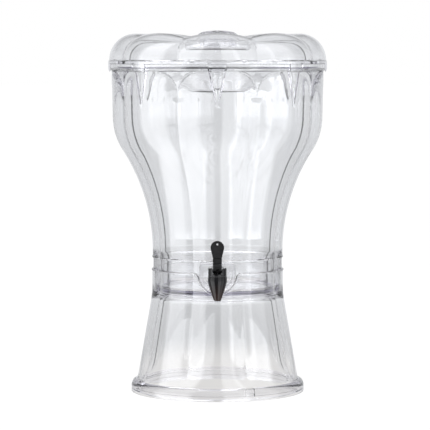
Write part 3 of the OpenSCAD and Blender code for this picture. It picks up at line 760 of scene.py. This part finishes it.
def bowl_side(extra, steps=24):
    """Curve from the flat bottom to the flange; extra gives the inside."""
    turn = degrees(BOWL_TURN)
    low = arc_points(BOWL_FLAT_R, BOWL_LOW.z + BOWL_CORNER, BOWL_CORNER - extra, -90, -90 + turn, steps // 2)
    high = arc_points(BOWL_MOUTH_R, BOWL_Z - BOWL_ARC, BOWL_ARC + extra, 90 + turn, 90, steps)
    return low + high


def make_bowl():
    """Turned bowl with a flange."""
    flange_r = BOWL_HIGH.x - BOWL_EDGE
    path = bowl_side(0)
    path += arc_points(flange_r, BOWL_Z + BOWL_EDGE, BOWL_EDGE, -90, 0, 3)
    path += arc_points(flange_r, BOWL_HIGH.z - BOWL_EDGE, BOWL_EDGE, 0, 90, 3)
    path += reversed(bowl_side(BOWL_WALL))
    bowl = lathe("clear_ice_bowl", path, 192)
    piece(bowl, "ice_bowl", "clear_plastic", CLEAR, "ice_bowl")


make_bowl()


# Lid

LID_WALL = 2.8 * MM
LID_R = LID_HIGH.x
LID_LOW_R = LID_R - 1.2 * MM
LID_EDGE_H = 5 * MM
LID_EDGE_ROUND = 0.5 * MM
LID_EDGE_GAP = 1 * MM
# how softly the furrows of the lid's top run into one another
LID_BLEND = 0.25
LID_LOBE = 10 * MM
LID_TOP_R = 115 * MM
LID_FURROW = 6.5 * MM
LID_FURROW_TOP_R = LID_TOP_R - 2 * MM
LID_SAG = 5.5 * MM
LID_SEAT_R = RIM_R - TANK_WALL - 1 * MM
LID_SEAT_LOBE = 5 * MM
LID_TOP_Z = LID_HIGH.z
LID_ARC_Z = RIM_Z + LID_EDGE_H
LID_ARC_H = LID_TOP_Z - LID_ARC_Z
WELL_R = 44.5 * MM
WELL_EDGE = 7.5 * MM
WELL_FILLET = 2.5 * MM
WELL_Z = KNOB_LOW.z
WELL_OUT_R = WELL_R + WELL_EDGE
WELL_ARC_Z = LID_TOP_Z - LID_SAG - WELL_EDGE
SCREW_HOLE_R = 2.2 * MM
SCREW_HOLE_H = 5 * MM
TAB_W = 24 * MM
TAB_EDGE = 0.4 * MM
TAB_CHAMFER = 1.2 * MM
TAB_TOP = RIM_Z + 1 * MM
TAB_IN_R = RIM_R + 0.4 * MM
TAB_OUT_R = LID_R - 0.1 * MM


def lid_path(low_r, top_r, drop, inset):
    """Section of the lid from its edge to the well, along a crest or a furrow."""
    path = dome_points(top_r, LID_ARC_Z, low_r - inset - top_r, LID_ARC_H - drop - inset, 24)
    for i in range(1, 13):
        s = i / 12
        fall = drop * (1 - s) + LID_SAG * s if drop else LID_SAG * s * s
        path.append((top_r + (WELL_OUT_R - top_r) * s, LID_TOP_Z - inset - fall))
    path += arc_points(WELL_OUT_R, WELL_ARC_Z, WELL_EDGE - inset, 90, 180, 10)[1:]
    fillet = WELL_FILLET + inset
    foot_r, foot_z = WELL_R + inset, WELL_Z - inset
    path += arc_points(foot_r - fillet, foot_z + fillet, fillet, 0, -90, 6)
    return path


def lid_rings(inset):
    """Rings of the lid's top, or of its underside when inset."""
    crest = lid_path(LID_LOW_R, LID_TOP_R, 0, inset)
    furrow = lid_path(LID_LOW_R - LID_LOBE, LID_FURROW_TOP_R, LID_FURROW, inset)
    rings = []
    for (rc, zc), (rf, zf) in zip(crest, furrow):
        ring = []
        for u, a in AROUND:
            own, other = u * u, (2 - abs(u)) ** 2
            w = -smooth_max(-own, -other, LID_BLEND)
            ring.append(polar(lobe_radius(u, rc, rc - rf), a, zc + (zf - zc) * w))
        rings.append(ring)
    return rings


def make_lid():
    """Lobed dome with a well, a plain edge and tabs."""
    edge_top = LID_ARC_Z - LID_EDGE_GAP
    edge_r = LID_R - LID_EDGE_ROUND
    rings = list(reversed(lid_rings(LID_WALL)))
    rings += lobed([(LID_SEAT_R, edge_top), (LID_SEAT_R, RIM_Z)], LID_SEAT_LOBE)
    edge = arc_points(edge_r, RIM_Z + LID_EDGE_ROUND, LID_EDGE_ROUND, -90, 0, 3)
    edge += arc_points(edge_r, edge_top - LID_EDGE_ROUND, LID_EDGE_ROUND, 0, 80, 3)
    lid = loft("clear_lid", rings + lobed(edge, LID_R - RIM_R) + lid_rings(0))

    foot_z = LID_LOW.z
    section = [
        (TAB_IN_R, foot_z + TAB_EDGE),
        (TAB_IN_R + TAB_EDGE, foot_z),
        (TAB_OUT_R - TAB_CHAMFER, foot_z),
        (TAB_OUT_R, foot_z + 3 * TAB_CHAMFER),
        (TAB_OUT_R, TAB_TOP),
        (TAB_IN_R, TAB_TOP),
    ]
    half = TAB_W / 2 / LID_R
    tabs = [sector("tab", section, FRONT + i * PITCH, half, 10) for i in range(LOBES)]
    add(lid, join(tabs))
    cut(lid, rod("screw_hole", SCREW_HOLE_R, WELL_Z - SCREW_HOLE_H, WELL_Z + OVERCUT, 32))
    piece(lid, "lid", "clear_plastic", CLEAR, "lid")


make_lid()


# Lid knob

KNOB_R = KNOB_HIGH.x
KNOB_H = KNOB_HIGH.z - KNOB_LOW.z
KNOB_WALL = 3.2 * MM
KNOB_NECK_R = KNOB_R - 8 * MM
KNOB_NECK_H = 5 * MM
KNOB_CROWN_H = 6 * MM
KNOB_EDGE = 1.2 * MM
KNOB_TIP_R = 0.4 * MM
KNOB_FOOT_EDGE = 0.5 * MM
# hollow between the neck and the grip
KNOB_FLARE = 1 * MM
KNOB_FLARE_LOW = KNOB_NECK_H - 2 * MM
KNOB_FLARE_HIGH = KNOB_NECK_H - 0.6 * MM
BOSS_R = 5 * MM
BOSS_STEP = 1 * MM
BOSS_BORE_R = 2 * MM
BOSS_BORE_H = 15 * MM
KNOB_FLUTES = 16
FLUTE_DEPTH = 1.7 * MM
# width over which the flutes come in
FLUTE_FADE = 5 * MM


def make_knob():
    """Hollow round knob with a fluted grip and a boss for its screw."""
    inner_r, crown_z = KNOB_R - KNOB_WALL, KNOB_H - KNOB_CROWN_H
    path = [(BOSS_BORE_R, BOSS_BORE_H), (BOSS_BORE_R, 0.0)]
    path += [(BOSS_R, 0.0), (BOSS_R, KNOB_H - KNOB_WALL - BOSS_STEP)]
    path += reversed(dome_points(0, crown_z, inner_r, KNOB_CROWN_H - KNOB_WALL, 11)[:10])
    neck_in, floor_z = KNOB_NECK_R - KNOB_WALL, KNOB_NECK_H + KNOB_WALL
    path += [(inner_r, floor_z), (neck_in, floor_z - KNOB_FLARE), (neck_in, 0.0)]
    path.append((KNOB_NECK_R - KNOB_FOOT_EDGE, 0.0))
    outside = len(path)
    path += [(KNOB_NECK_R, KNOB_FOOT_EDGE), (KNOB_NECK_R, KNOB_FLARE_LOW)]
    path += [(KNOB_NECK_R + KNOB_FLARE, KNOB_FLARE_HIGH), (KNOB_R - KNOB_EDGE, KNOB_NECK_H)]
    path += arc_points(KNOB_R - KNOB_EDGE, KNOB_NECK_H + KNOB_EDGE, KNOB_EDGE, -70, 0, 4)
    path += [(max(KNOB_TIP_R, r), z) for r, z in dome_points(0, crown_z, KNOB_R, KNOB_CROWN_H, 12)]
    rings = []
    for k, (r, z) in enumerate(path):
        ring = []
        grip = max(0.0, min(1.0, (r - KNOB_NECK_R - KNOB_FLARE) / FLUTE_FADE)) if k > outside else 0.0
        for a in full_turn(KNOB_FLUTES * 12):
            flute = max(0.0, cos(KNOB_FLUTES * a)) ** 2
            ring.append(polar(r - FLUTE_DEPTH * flute * grip, a, KNOB_LOW.z + z))
        rings.append(ring)
    knob = loft("clear_lid_knob", rings)
    piece(knob, "lid", "clear_plastic", CLEAR_KNOB, "lid_knob")


make_knob()


# Stand

SKIRT_R = STAND_HIGH.x
SKIRT_LOW_Z = STAND_LOW.z
SKIRT_Z = SKIRT_LOW_Z + 12 * MM
SKIRT_EASE = 1 * MM
SKIRT_FADE = 27 * MM
SKIRT_BEND = SHELF_Z - 4 * MM
BEND_HALF = 13 * MM
SKIRT_SLOPE = (SKIRT_R - COLLAR_R) / (SKIRT_BEND - SKIRT_Z)
SHELF_T = 3 * MM
SHELF_GAP = 0.2 * MM
SHELF_HOLE_R = 70 * MM
SHELF_FILLET = 2.5 * MM
STAND_EDGE = 0.9 * MM
LUG_W = 12 * MM
LUG_COUNT = 4
LUG_TURNS = [FRONT + HALF + i * 2 * pi / LUG_COUNT for i in range(LUG_COUNT)]
LUG_IN_R = SKIRT_R - 1.4 * MM
LUG_OUT_R = SKIRT_R + 3.2 * MM
LUG_LOW_Z = SKIRT_LOW_Z + 3 * MM
LUG_HIGH_Z = SKIRT_LOW_Z + 7.5 * MM


def skirt_radius(z):
    """Radius over the lobes of the stand."""
    top = SKIRT_BEND + BEND_HALF
    if z < SKIRT_Z:
        return SKIRT_R
    if z < SKIRT_BEND - BEND_HALF:
        return COLLAR_R + SKIRT_SLOPE * (SKIRT_BEND - z)
    if z < top:
        return COLLAR_R + SKIRT_SLOPE * (top - z) ** 2 / (4 * BEND_HALF)
    return COLLAR_R


def skirt_depth(z):
    """Depth of the stand's furrows, which fade out to a round foot."""
    u = min(1.0, max(0.0, (z - SKIRT_Z) / SKIRT_FADE))
    along = max(0.0, z - SKIRT_Z) / (COLLAR_Z - SKIRT_Z)
    return (SKIRT_LOBE + (WAIST_LOBE - SKIRT_LOBE) * along) * sin(pi / 2 * u)


def collar_route():
    """Middle line of the bead along the top of the collar and round its notch."""
    notch = notch_outline(EDGE_BEAD)[:-2]
    route = [waist_spot(asin(x / COLLAR_R), z, COLLAR_R) for x, z in notch]
    edge = asin(notch[0][0] / COLLAR_R)
    step = (2 * pi - 2 * edge) / BEAD_STEPS
    route += [waist_spot(-edge - step * i, COLLAR_Z - EDGE_BEAD, COLLAR_R) for i in range(1, BEAD_STEPS)]
    return route


def make_stand():
    """Lobed skirt, collar and shelf in one loop of rings, then lugs, notch and the bead of its edge."""
    shelf_low = SHELF_Z - SHELF_T
    shelf_top = SHELF_Z - SHELF_GAP
    levels = [SKIRT_LOW_Z, SKIRT_Z - SKIRT_EASE, SKIRT_Z]
    levels += [SKIRT_Z + SKIRT_FADE * i / 14 for i in range(1, 15)]
    fade_top = SKIRT_Z + SKIRT_FADE
    levels += [fade_top + (SKIRT_BEND + BEND_HALF - fade_top) * i / 24 for i in range(1, 25)]
    edge = STAND_EDGE
    rings = [lobe_ring(z, skirt_radius(z), skirt_depth(z)) for z in levels]
    collar_in = COLLAR_R - STAND_WALL
    collar = arc_points(COLLAR_R - edge, COLLAR_Z - edge, edge, 0, 90, 4)
    collar += arc_points(collar_in + edge, COLLAR_Z - edge, edge, 90, 180, 4)
    collar.append((collar_in, shelf_top))
    shelf = arc_points(SHELF_HOLE_R + edge, shelf_top - edge, edge, 90, 180, 4)
    shelf += arc_points(SHELF_HOLE_R + edge, shelf_low + edge, edge, 180, 270, 4)
    rings += lobed(collar, WAIST_LOBE) + lobed(shelf, 0)
    inner = skirt_radius(shelf_low) - STAND_WALL
    rings.append(lobe_ring(shelf_low, inner - SHELF_FILLET, skirt_depth(shelf_low)))
    for z in reversed(levels):
        if z < shelf_low - SHELF_FILLET:
            rings.append(lobe_ring(z, skirt_radius(z), skirt_depth(z), 0, STAND_WALL))
    stand = loft("clear_stand", rings, True)

    section = corners(LUG_IN_R, LUG_OUT_R, LUG_LOW_Z, LUG_HIGH_Z)
    lugs = [sector("lug", section, a, LUG_W / 2 / SKIRT_R, 6) for a in LUG_TURNS]
    add(stand, join(lugs))
    notch = [at_depth(notch_outline(), y) for y in (-COLLAR_R - OVERCUT, -COLLAR_R / 2)]
    cut(stand, loft("notch", notch))
    add(stand, bead(collar_route(), EDGE_BEAD, True))
    piece(stand, "stand", "clear_plastic", CLEAR, "base_stand")


make_stand()


# Foot ring

RING_R = RING_HIGH.x
RING_H = RING_HIGH.z
RING_FLOOR = SKIRT_LOW_Z
RING_GAP = 0.25 * MM
RING_INNER_WALL = 3.2 * MM
RING_INNER_Z = RING_FLOOR + 6 * MM
RING_LIP = 1.2 * MM
RING_CURVE_H = 9 * MM
RING_CORE_WALL = 3.5 * MM
RING_CORE_H = RING_FLOOR - 3 * MM
RING_EDGE = 0.5 * MM
LUG_FIT = 0.4 * MM
SLOT_IN_R = SKIRT_R - 0.2 * MM
SLOT_OUT_R = LUG_OUT_R + LUG_FIT


def make_ring():
    """Turned ring with a channel for the skirt, hollow from below, with slots for the lugs."""
    channel_out = SKIRT_R + RING_GAP
    channel_in = SKIRT_R - STAND_WALL - RING_GAP
    ring_in = channel_in - RING_INNER_WALL
    lip_top = channel_out + RING_LIP
    core_in, core_out = ring_in + RING_CORE_WALL, RING_R - RING_CORE_WALL
    edge, inner_z = RING_EDGE, RING_INNER_Z
    path = [(ring_in + edge, 0.0), (core_in, 0.0), (core_in, RING_CORE_H)]
    path += [(core_out, RING_CORE_H), (core_out, 0.0)]
    path += arc_points(RING_R - edge, edge, edge, -90, 0, 4)
    path += dome_points(lip_top, RING_H - RING_CURVE_H, RING_R - lip_top, RING_CURVE_H, 16)
    path += [(channel_out + edge, RING_H), (channel_out, RING_H - edge)]
    path += [(channel_out, RING_FLOOR), (channel_in, RING_FLOOR)]
    path += [(channel_in, inner_z - edge), (channel_in - edge, inner_z)]
    path += [(ring_in + edge, inner_z), (ring_in, inner_z - edge), (ring_in, edge)]
    ring = lathe("clear_foot_ring", path, 224, True)
    section = corners(SLOT_IN_R, SLOT_OUT_R, RING_FLOOR, RING_H + OVERCUT)
    slots = [sector("slot", section, a, (LUG_W / 2 + LUG_FIT) / SKIRT_R, 6) for a in LUG_TURNS]
    cut(ring, join(slots))
    piece(ring, "stand", "clear_plastic", CLEAR, "foot_ring")


make_ring()


# Tap

SPOUT_R = 4.9 * MM
SPOUT_BORE_R = 3.6 * MM
CHAMBER_R = 8 * MM
BARREL_R = 13 * MM
BARREL_LOW = TAP_LOW.z
BONNET_R = BONNET_HIGH.x
BONNET_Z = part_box("bonnet_gasket")[1].z
BONNET_TOP = BONNET_HIGH.z
BONNET_FLOOR = BONNET_Z + 2.6 * MM
BARREL_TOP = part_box("bonnet_gasket")[0].z
SEAT_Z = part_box("seat_cup")[0].z
STEM_R = 2.35 * MM
ARM_R = 8.8 * MM
FLANGE_T = 3 * MM
FLANGE_Y = WASHER_LOW.y
SHANK_END_Y = TAP_HIGH.y
THREAD_PITCH = 1.6 * MM
THREAD_DEPTH = 0.55 * MM
# shares of a turn of the thread: end of its crest, start and end of its root
THREAD_SHARES = (0.3, 0.55, 0.75)
TAP_EDGE = 0.5 * MM
SPOUT_EDGE = 0.4 * MM
SPOUT_BORE_EDGE = 0.3 * MM
# side of the barrel from the spout up, the points of a cubic curve
BARREL_CURVE = (
    (SPOUT_R, BARREL_LOW + TAP_EDGE),
    (SPOUT_R + 3.2 * MM, BARREL_LOW + 9 * MM),
    (BARREL_R, TAP_Z - 3.5 * MM),
    (BARREL_R, TAP_Z + 1 * MM),
)
BONNET_EDGE = 0.6 * MM
BONNET_FIT = 0.1 * MM
BONNET_ROOM = 0.4 * MM
BORE_EASE = 0.01 * MM
ARM_END_Y = TAP_Y + 9 * MM
ARM_FILLET = 2 * MM
LEVER_W = 12.1 * MM
LEVER_GAP = 0.3 * MM
HEAD_R = LEVER_HIGH.x
HEAD_Z = LEVER_HIGH.z - HEAD_R
HEAD_HOLE_R = 1.4 * MM
PADDLE_T = 6 * MM
PADDLE_Z = PIN_Z + 17.7 * MM
PADDLE_EDGE = 0.9 * MM
DISH_INSET = 1.9 * MM
DISH_DEPTH = 0.4 * MM
NECK_T = 8 * MM
NECK_RECESS = 1.4 * MM
NECK_BEVEL = 0.7 * MM
PIN_HOLE_R = 1.55 * MM
CAM_OFF = 3.87 * MM
CAM_R = 7.32 * MM
CAM_BEVEL = 0.5 * MM
EYE_HALF = 2.3 * MM
EYE_R = 3.3 * MM
NUT_SIDES = 6
NUT_CHAMFER = 1.1 * MM
NUT_FIT = 0.05 * MM


def bezier(a, b, c, d, t):
    """Point on a cubic curve."""
    q = 1 - t
    return tuple(
        w * q**3 + x * 3 * t * q * q + y * 3 * t * t * q + z * t**3 for w, x, y, z in zip(a, b, c, d)
    )


def block(name, low, high, bevel=0.0):
    """Box between two corners, its edges rounded."""
    (x0, y0, z0), (x1, y1, z1) = low, high
    rings = [[(x0, y0, z), (x1, y0, z), (x1, y1, z), (x0, y1, z)] for z in (z0, z1)]
    obj = loft(name, rings)
    if bevel:
        mod = obj.modifiers.new("bevel", "BEVEL")
        mod.width, mod.segments = bevel, 3
        mod.limit_method, mod.angle_limit = "ANGLE", radians(40)
        apply_modifiers(obj)
    return obj


def rod_x(name, r, half, z, bevel=0.0):
    """Round bar along X through the tap's middle."""
    path = [(r, -half), (r, half)]
    if bevel:
        path = arc_points(r - bevel, bevel - half, bevel, -90, 0, 3)
        path += arc_points(r - bevel, half - bevel, bevel, 0, 90, 3)
    bar = lathe(name, path, 64)
    return move(bar, Matrix.Translation((0, TAP_Y, z)) @ Matrix.Rotation(pi / 2, 4, "Y"))


def upright(name, path):
    """Turned piece round the tap's upright axis, from a closed section."""
    return shift(lathe(name, path, 96, True), 0, TAP_Y, 0)


def make_tap_body():
    """Turned barrel with its nozzle, and the arm with flange and threaded shank."""
    edge = TAP_EDGE
    path = [(SPOUT_BORE_R, BARREL_LOW + edge), (SPOUT_BORE_R + SPOUT_BORE_EDGE, BARREL_LOW)]
    path.append((SPOUT_R - SPOUT_EDGE, BARREL_LOW))
    path += [bezier(*BARREL_CURVE, i / 28) for i in range(29)]
    path += arc_points(BONNET_R - edge, BARREL_TOP - edge, edge, 0, 90, 3)
    path += [(CHAMBER_R, BARREL_TOP), (CHAMBER_R, SEAT_Z), (SPOUT_BORE_R, SEAT_Z)]
    body = upright("tap_body_black", path)

    arm_front = FLANGE_Y - FLANGE_T - ARM_FILLET
    neck = [(SHANK_BORE_R, ARM_END_Y), (ARM_R, ARM_END_Y), (ARM_R, arm_front)]
    neck += arc_points(ARM_R + ARM_FILLET, arm_front, ARM_FILLET, 180, 90, 4)
    neck += arc_points(FLANGE_R - edge, FLANGE_Y - FLANGE_T + edge, edge, -90, 0, 3)
    neck += [(FLANGE_R, FLANGE_Y), (SHANK_R, FLANGE_Y)]
    root_r = SHANK_R - THREAD_DEPTH
    turns = int((SHANK_END_Y - PAD_Y) / THREAD_PITCH) - 1
    for i in range(turns):
        y = PAD_Y + THREAD_PITCH * i
        crest_end, root, root_end = (y + share * THREAD_PITCH for share in THREAD_SHARES)
        neck += [(SHANK_R, y), (SHANK_R, crest_end), (root_r, root), (root_r, root_end)]
    neck += [(SHANK_R, SHANK_END_Y - edge), (SHANK_R - edge, SHANK_END_Y), (SHANK_BORE_R, SHANK_END_Y)]
    add(body, turn_to_y(lathe("tap_neck", neck, 72, True)))
    room = rod("bonnet_room", BONNET_R + BONNET_ROOM, BARREL_TOP, BARREL_TOP + ARM_R)
    cut(body, shift(room, 0, TAP_Y, 0))
    bore = rod("bore", SHANK_BORE_R - BORE_EASE, TAP_Y, ARM_END_Y + OVERCUT, 48)
    cut(body, turn_to_y(bore))
    piece(body, "tank", "black_plastic", BLACK_NOZZLE, "tap_body", sharp=30)


def make_bonnet():
    """Round cap of the valve with a slot for the lever."""
    edge = BONNET_EDGE
    plug_r = CHAMBER_R - BONNET_FIT
    path = [(STEM_R, BONNET_LOW.z), (plug_r, BONNET_LOW.z), (plug_r, BONNET_Z), (BONNET_R, BONNET_Z)]
    path += arc_points(BONNET_R - edge, BONNET_TOP - edge, edge, 0, 90, 4)
    path.append((STEM_R, BONNET_TOP))
    bonnet = upright("tap_bonnet_black", path)
    half = LEVER_W / 2 + LEVER_GAP
    far = BONNET_R + OVERCUT
    slot = block("slot", (-half, TAP_Y - far, BONNET_FLOOR), (half, TAP_Y + far, BONNET_TOP + OVERCUT))
    cut(bonnet, slot)
    piece(bonnet, "tank", "black_plastic", BLACK, "tap_bonnet", sharp=30)


def paddle_outline(inset, steps=36):
    """Outline of the lever's paddle, in X and Z, drawn in by an inset."""
    foot = LEVER_W / 2
    lean = atan((HEAD_R - foot) / (HEAD_Z - PADDLE_Z))
    points = [(foot - inset, PADDLE_Z + inset)]
    for i in range(steps + 1):
        a = -lean + (pi + 2 * lean) * i / steps
        points.append(((HEAD_R - inset) * cos(a), HEAD_Z + (HEAD_R - inset) * sin(a)))
    points.append((inset - foot, PADDLE_Z + inset))
    return points


def make_lever():
    """Dished paddle with rounded edges, its neck and the cam at its foot."""
    front, back = TAP_Y - PADDLE_T / 2, TAP_Y + PADDLE_T / 2
    edges = [(PADDLE_EDGE * (1 - sin(t)), PADDLE_EDGE * (1 - cos(t))) for t in quarter_turn(4)]
    rings = [at_depth(paddle_outline(inset), front + depth) for depth, inset in reversed(edges)]
    rings += [at_depth(paddle_outline(inset), back - depth) for depth, inset in edges]
    lever = loft("tap_lever_black", rings)
    dish = [at_depth(paddle_outline(DISH_INSET), y) for y in (front - OVERCUT, front + DISH_DEPTH)]
    cut(lever, loft("dish", dish))
    low = (-LEVER_W / 2, front + NECK_RECESS, PIN_Z + CAM_OFF)
    high = (LEVER_W / 2, TAP_Y + NECK_T / 2, PADDLE_Z)
    add(lever, block("neck", low, high, NECK_BEVEL))
    add(lever, rod_x("cam", CAM_R, LEVER_W / 2, PIN_Z + CAM_OFF, CAM_BEVEL))
    low = (-EYE_HALF, TAP_Y - CAM_R - OVERCUT, PIN_Z - CAM_R)
    high = (EYE_HALF, TAP_Y + EYE_R, PIN_Z + EYE_R)
    cut(lever, block("eye", low, high))
    cut(lever, rod_x("pin_hole", PIN_HOLE_R, LEVER_W, PIN_Z))
    hole = turn_to_y(rod("hole", HEAD_HOLE_R, TAP_Y - PADDLE_T, TAP_Y + PADDLE_T, 32))
    cut(lever, shift(hole, 0, 0, HEAD_Z + HEAD_R / 2 - TAP_Z))
    piece(lever, "lever", "black_plastic", BLACK_SATIN, "tap_lever", sharp=30)


def make_nut():
    """Six-sided nut, chamfered at both ends."""
    r = max(NUT_HIGH.z - TAP_Z, NUT_HIGH.x)
    chamfer = NUT_CHAMFER
    wedge = pi / NUT_SIDES
    y0, y1 = NUT_LOW.y, NUT_HIGH.y
    rings = []
    for y, limit in ((y0, r - chamfer), (y0 + chamfer / 2, r), (y1 - chamfer / 2, r), (y1, r - chamfer)):
        ring = []
        for a in full_turn(NUT_SIDES * 12):
            off = (a + wedge) % (2 * wedge) - wedge
            flat = r * cos(wedge) / cos(wedge - abs(off))
            ring.append(polar(min(limit, flat), a, y))
        rings.append(ring)
    nut = turn_to_y(loft("shank_nut_black", rings))
    bore = rod("bore", SHANK_R + NUT_FIT, y0 - OVERCUT, y1 + OVERCUT, 72)
    cut(nut, turn_to_y(bore))
    piece(nut, "tank", "black_plastic", BLACK_SATIN, "shank_nut", sharp=25)


make_tap_body()
make_bonnet()
make_lever()
make_nut()


# Materials of the CAD nodes that stay

KEPT = {
    "knob_screw": CLEAR_KNOB,
    "bonnet_gasket": RUBBER,
    "stem_seal": RUBBER,
    "outer_washer": RUBBER,
    "inner_washer": RUBBER,
    # painted shade: the valve stem, white plastic, is given black satin so that it reads dark in the shade
    # of the bonnet's slot
    "valve_stem": BLACK_SATIN,
    "seat_cup": SILICONE,
    "return_spring": STEEL,
    "lever_pin": BLACK_SATIN,
}
for name, material in KEPT.items():
    paint(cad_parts[name], material)


# Floor, light and camera

PHOTO_SIDE = 430
PHOTO_CENTRE = PHOTO_SIDE / 2
HORIZON_ROW = 52
MIDDLE_COLUMN = 217.6
FLOOR_ROW = 389.5
LID_WIDTH_PX = 218
CAMERA_DISTANCE = 3.3
CAMERA_AZIMUTH = 0.2
SENSOR = 36

# what the plastic shows of the floor: a table under the object, then the floor out to the backdrop
FLOOR_SIDE = 30
FLOOR_SHADE = (0.93, 0.925, 0.915, 1)
FLOOR_NEAR = (0.77, 0.76, 0.745)
FLOOR_FAR = (0.9, 0.915, 0.93)
FLOOR_GLOW_SHARE = 0.8
# painted shade: the floor just past the table is darker: (from, to, level at the start)
FLOOR_PAINTED_SHADE = (0.7, 1.9, 0.74)
FLOOR_WHITE = (1.14, 1.14, 1.14, 1)
TABLE_R = 0.3
TABLE_SOFT = 0.35
ROOM = 0.28
GLOSS_ROOM = 0.14
ROOM_TINT = (0.965, 0.98, 1.0, 1)
# strips of light: (azimuth from the front, half width, soft edge, strength), angles in degrees
BACKDROP = ((180, 8, 26, 0.14), (180, 60, 60, 0.4))
BACKDROP_TOP = 0.12
BACKDROP_FADE = 0.35
BACKDROP_SKY = 0.8
PANELS = ((-64, 20, 14, 4.2), (26, 12, 9, 3.1), (62, 20, 12, 2.0))
PANEL_TOP = -0.03
PANEL_FADE = 0.16
PANEL_REST = 0.5
OVERHEAD = 0.7
OVERHEAD_EDGE = (0.35, 0.85)
DIFFUSE_LIGHT = 0.55
LIGHT_AIM = Vector((0, 0, 0.28))


def make_floor():
    """White to the camera with a faint shadow; through the plastic it is a lit table in a dim room."""
    mesh = bpy.data.meshes.new("floor")
    side = FLOOR_SIDE
    square = [(-side, -side, 0), (side, -side, 0), (side, side, 0), (-side, side, 0)]
    mesh.from_pydata(square, [], [(0, 1, 2, 3)])
    floor = put("floor", mesh)
    material = bpy.data.materials.new("floor")
    material.use_nodes = True
    material.node_tree.nodes.clear()
    wires = Wires(material.node_tree)
    place = wires.node("NewGeometry").outputs["Position"]
    heading, reach, _ = wires.heading(place)
    # painted light and shade in the glow that the plastic shows: a lit table near the object, then a floor
    # that follows the backdrop's strips of light over the room's level, with painted shade just past the
    # table
    near = wires.step(reach, TABLE_R, TABLE_R + TABLE_SOFT, 1.0, 0.0)
    painted_shade = wires.step(reach, *FLOOR_PAINTED_SHADE, 1.0)
    level = wires.math("MULTIPLY", wires.panels(heading, BACKDROP, ROOM), painted_shade)
    far = wires.colour(level, (0, 0, 0, 1), (*FLOOR_FAR, 1))
    seen = wires.colour(near, far, (*FLOOR_NEAR, 1))
    path = wires.node("LightPath")
    direct = path.outputs["Is Camera Ray"]
    glow = wires.node("Emission", {"Color": wires.colour(direct, seen, FLOOR_WHITE)})
    diffuse = wires.node("BsdfDiffuse", {"Color": FLOOR_SHADE})
    share = wires.math("MAXIMUM", wires.math("SUBTRACT", 1.0, direct), FLOOR_GLOW_SHARE)
    mix = wires.node("MixShader", {"Fac": share})
    wires.feed(mix.inputs[1], diffuse.outputs["BSDF"])
    wires.feed(mix.inputs[2], glow.outputs["Emission"])
    wires.node("OutputMaterial", {"Surface": mix.outputs["Shader"]})
    mesh.materials.append(material)
    floor.visible_glossy = False


def make_world():
    """White to the camera, a dim room with lit panels to the plastic, even light for the rest."""
    world = bpy.data.worlds.new("studio")
    bpy.context.scene.world = world
    world.use_nodes = True
    world.node_tree.nodes.clear()
    wires = Wires(world.node_tree)
    heading, _, height = wires.heading(wires.node("TexCoord").outputs["Generated"])
    path = wires.node("LightPath")
    glossy = path.outputs["Is Glossy Ray"]
    fade = wires.step(height, BACKDROP_TOP, BACKDROP_TOP + BACKDROP_FADE, BACKDROP_SKY, 0.0)
    behind = wires.math("MULTIPLY", wires.panels(heading, BACKDROP), fade)
    fade = wires.step(height, PANEL_TOP, PANEL_TOP + PANEL_FADE, 1.0, PANEL_REST)
    strips = wires.math("MULTIPLY", wires.panels(heading, PANELS), fade)
    above = wires.math("MULTIPLY", wires.step(height, *OVERHEAD_EDGE, GLOSS_ROOM, OVERHEAD), glossy)
    studio = wires.math("ADD", wires.math("ADD", behind, strips), wires.math("ADD", above, ROOM))
    seen = wires.math("MAXIMUM", glossy, path.outputs["Is Transmission Ray"])
    even = wires.math("MULTIPLY", wires.math("SUBTRACT", 1.0, seen), DIFFUSE_LIGHT)
    lit = wires.math("ADD", wires.math("MULTIPLY", studio, seen), even)
    light_tint = wires.colour(seen, (1, 1, 1, 1), ROOM_TINT)
    lit = wires.math("MAXIMUM", lit, path.outputs["Is Camera Ray"])
    back = wires.node("Background", {"Color": light_tint, "Strength": lit})
    wires.node("OutputWorld", {"Surface": back.outputs["Background"]})


def softbox(name, azimuth, height, distance, width, tall, power):
    """Area light at an azimuth from the camera's side, turned to the middle of the object."""
    light = bpy.data.lights.new(name, "AREA")
    light.shape = "RECTANGLE"
    light.size, light.size_y = width, tall
    light.energy = power
    obj = put(name, light)
    a = radians(azimuth)
    obj.location = (distance * sin(a), -distance * cos(a), height)
    obj.rotation_euler = (LIGHT_AIM - obj.location).to_track_quat("-Z", "Y").to_euler()
    obj.visible_glossy = False
    obj.visible_transmission = False


def make_camera():
    """Camera that puts horizon, floor and lid where the photo has them."""
    scale = 2 * LID_R / LID_WIDTH_PX
    focal_px = CAMERA_DISTANCE / scale
    data = bpy.data.cameras.new("camera")
    data.sensor_width = SENSOR
    data.lens = SENSOR * focal_px / PHOTO_SIDE
    data.clip_end = 100
    camera = put("camera", data)
    pitch = atan((PHOTO_CENTRE - HORIZON_ROW) / focal_px)
    down = pitch + atan((FLOOR_ROW - PHOTO_CENTRE) / focal_px)
    height = CAMERA_DISTANCE * tan(down)
    side = (PHOTO_CENTRE - MIDDLE_COLUMN) * scale
    turn = radians(CAMERA_AZIMUTH)
    camera.location = Matrix.Rotation(turn, 3, "Z") @ Vector((side, -CAMERA_DISTANCE, height))
    camera.rotation_euler = (pi / 2 - pitch, 0, turn)
    bpy.context.scene.camera = camera


make_floor()
make_world()
softbox("left_softbox", azimuth=-58, height=0.6, distance=2.2, width=0.5, tall=1.4, power=12)
softbox("right_softbox", azimuth=27, height=0.6, distance=2.4, width=0.45, tall=1.4, power=10)
softbox("top_softbox", azimuth=0, height=2.2, distance=0.4, width=1.2, tall=1.2, power=8)
make_camera()

scene = bpy.context.scene
scene.view_settings.view_transform = "Standard"
scene.cycles.max_bounces = 32
scene.cycles.transmission_bounces = 32
scene.cycles.glossy_bounces = 16
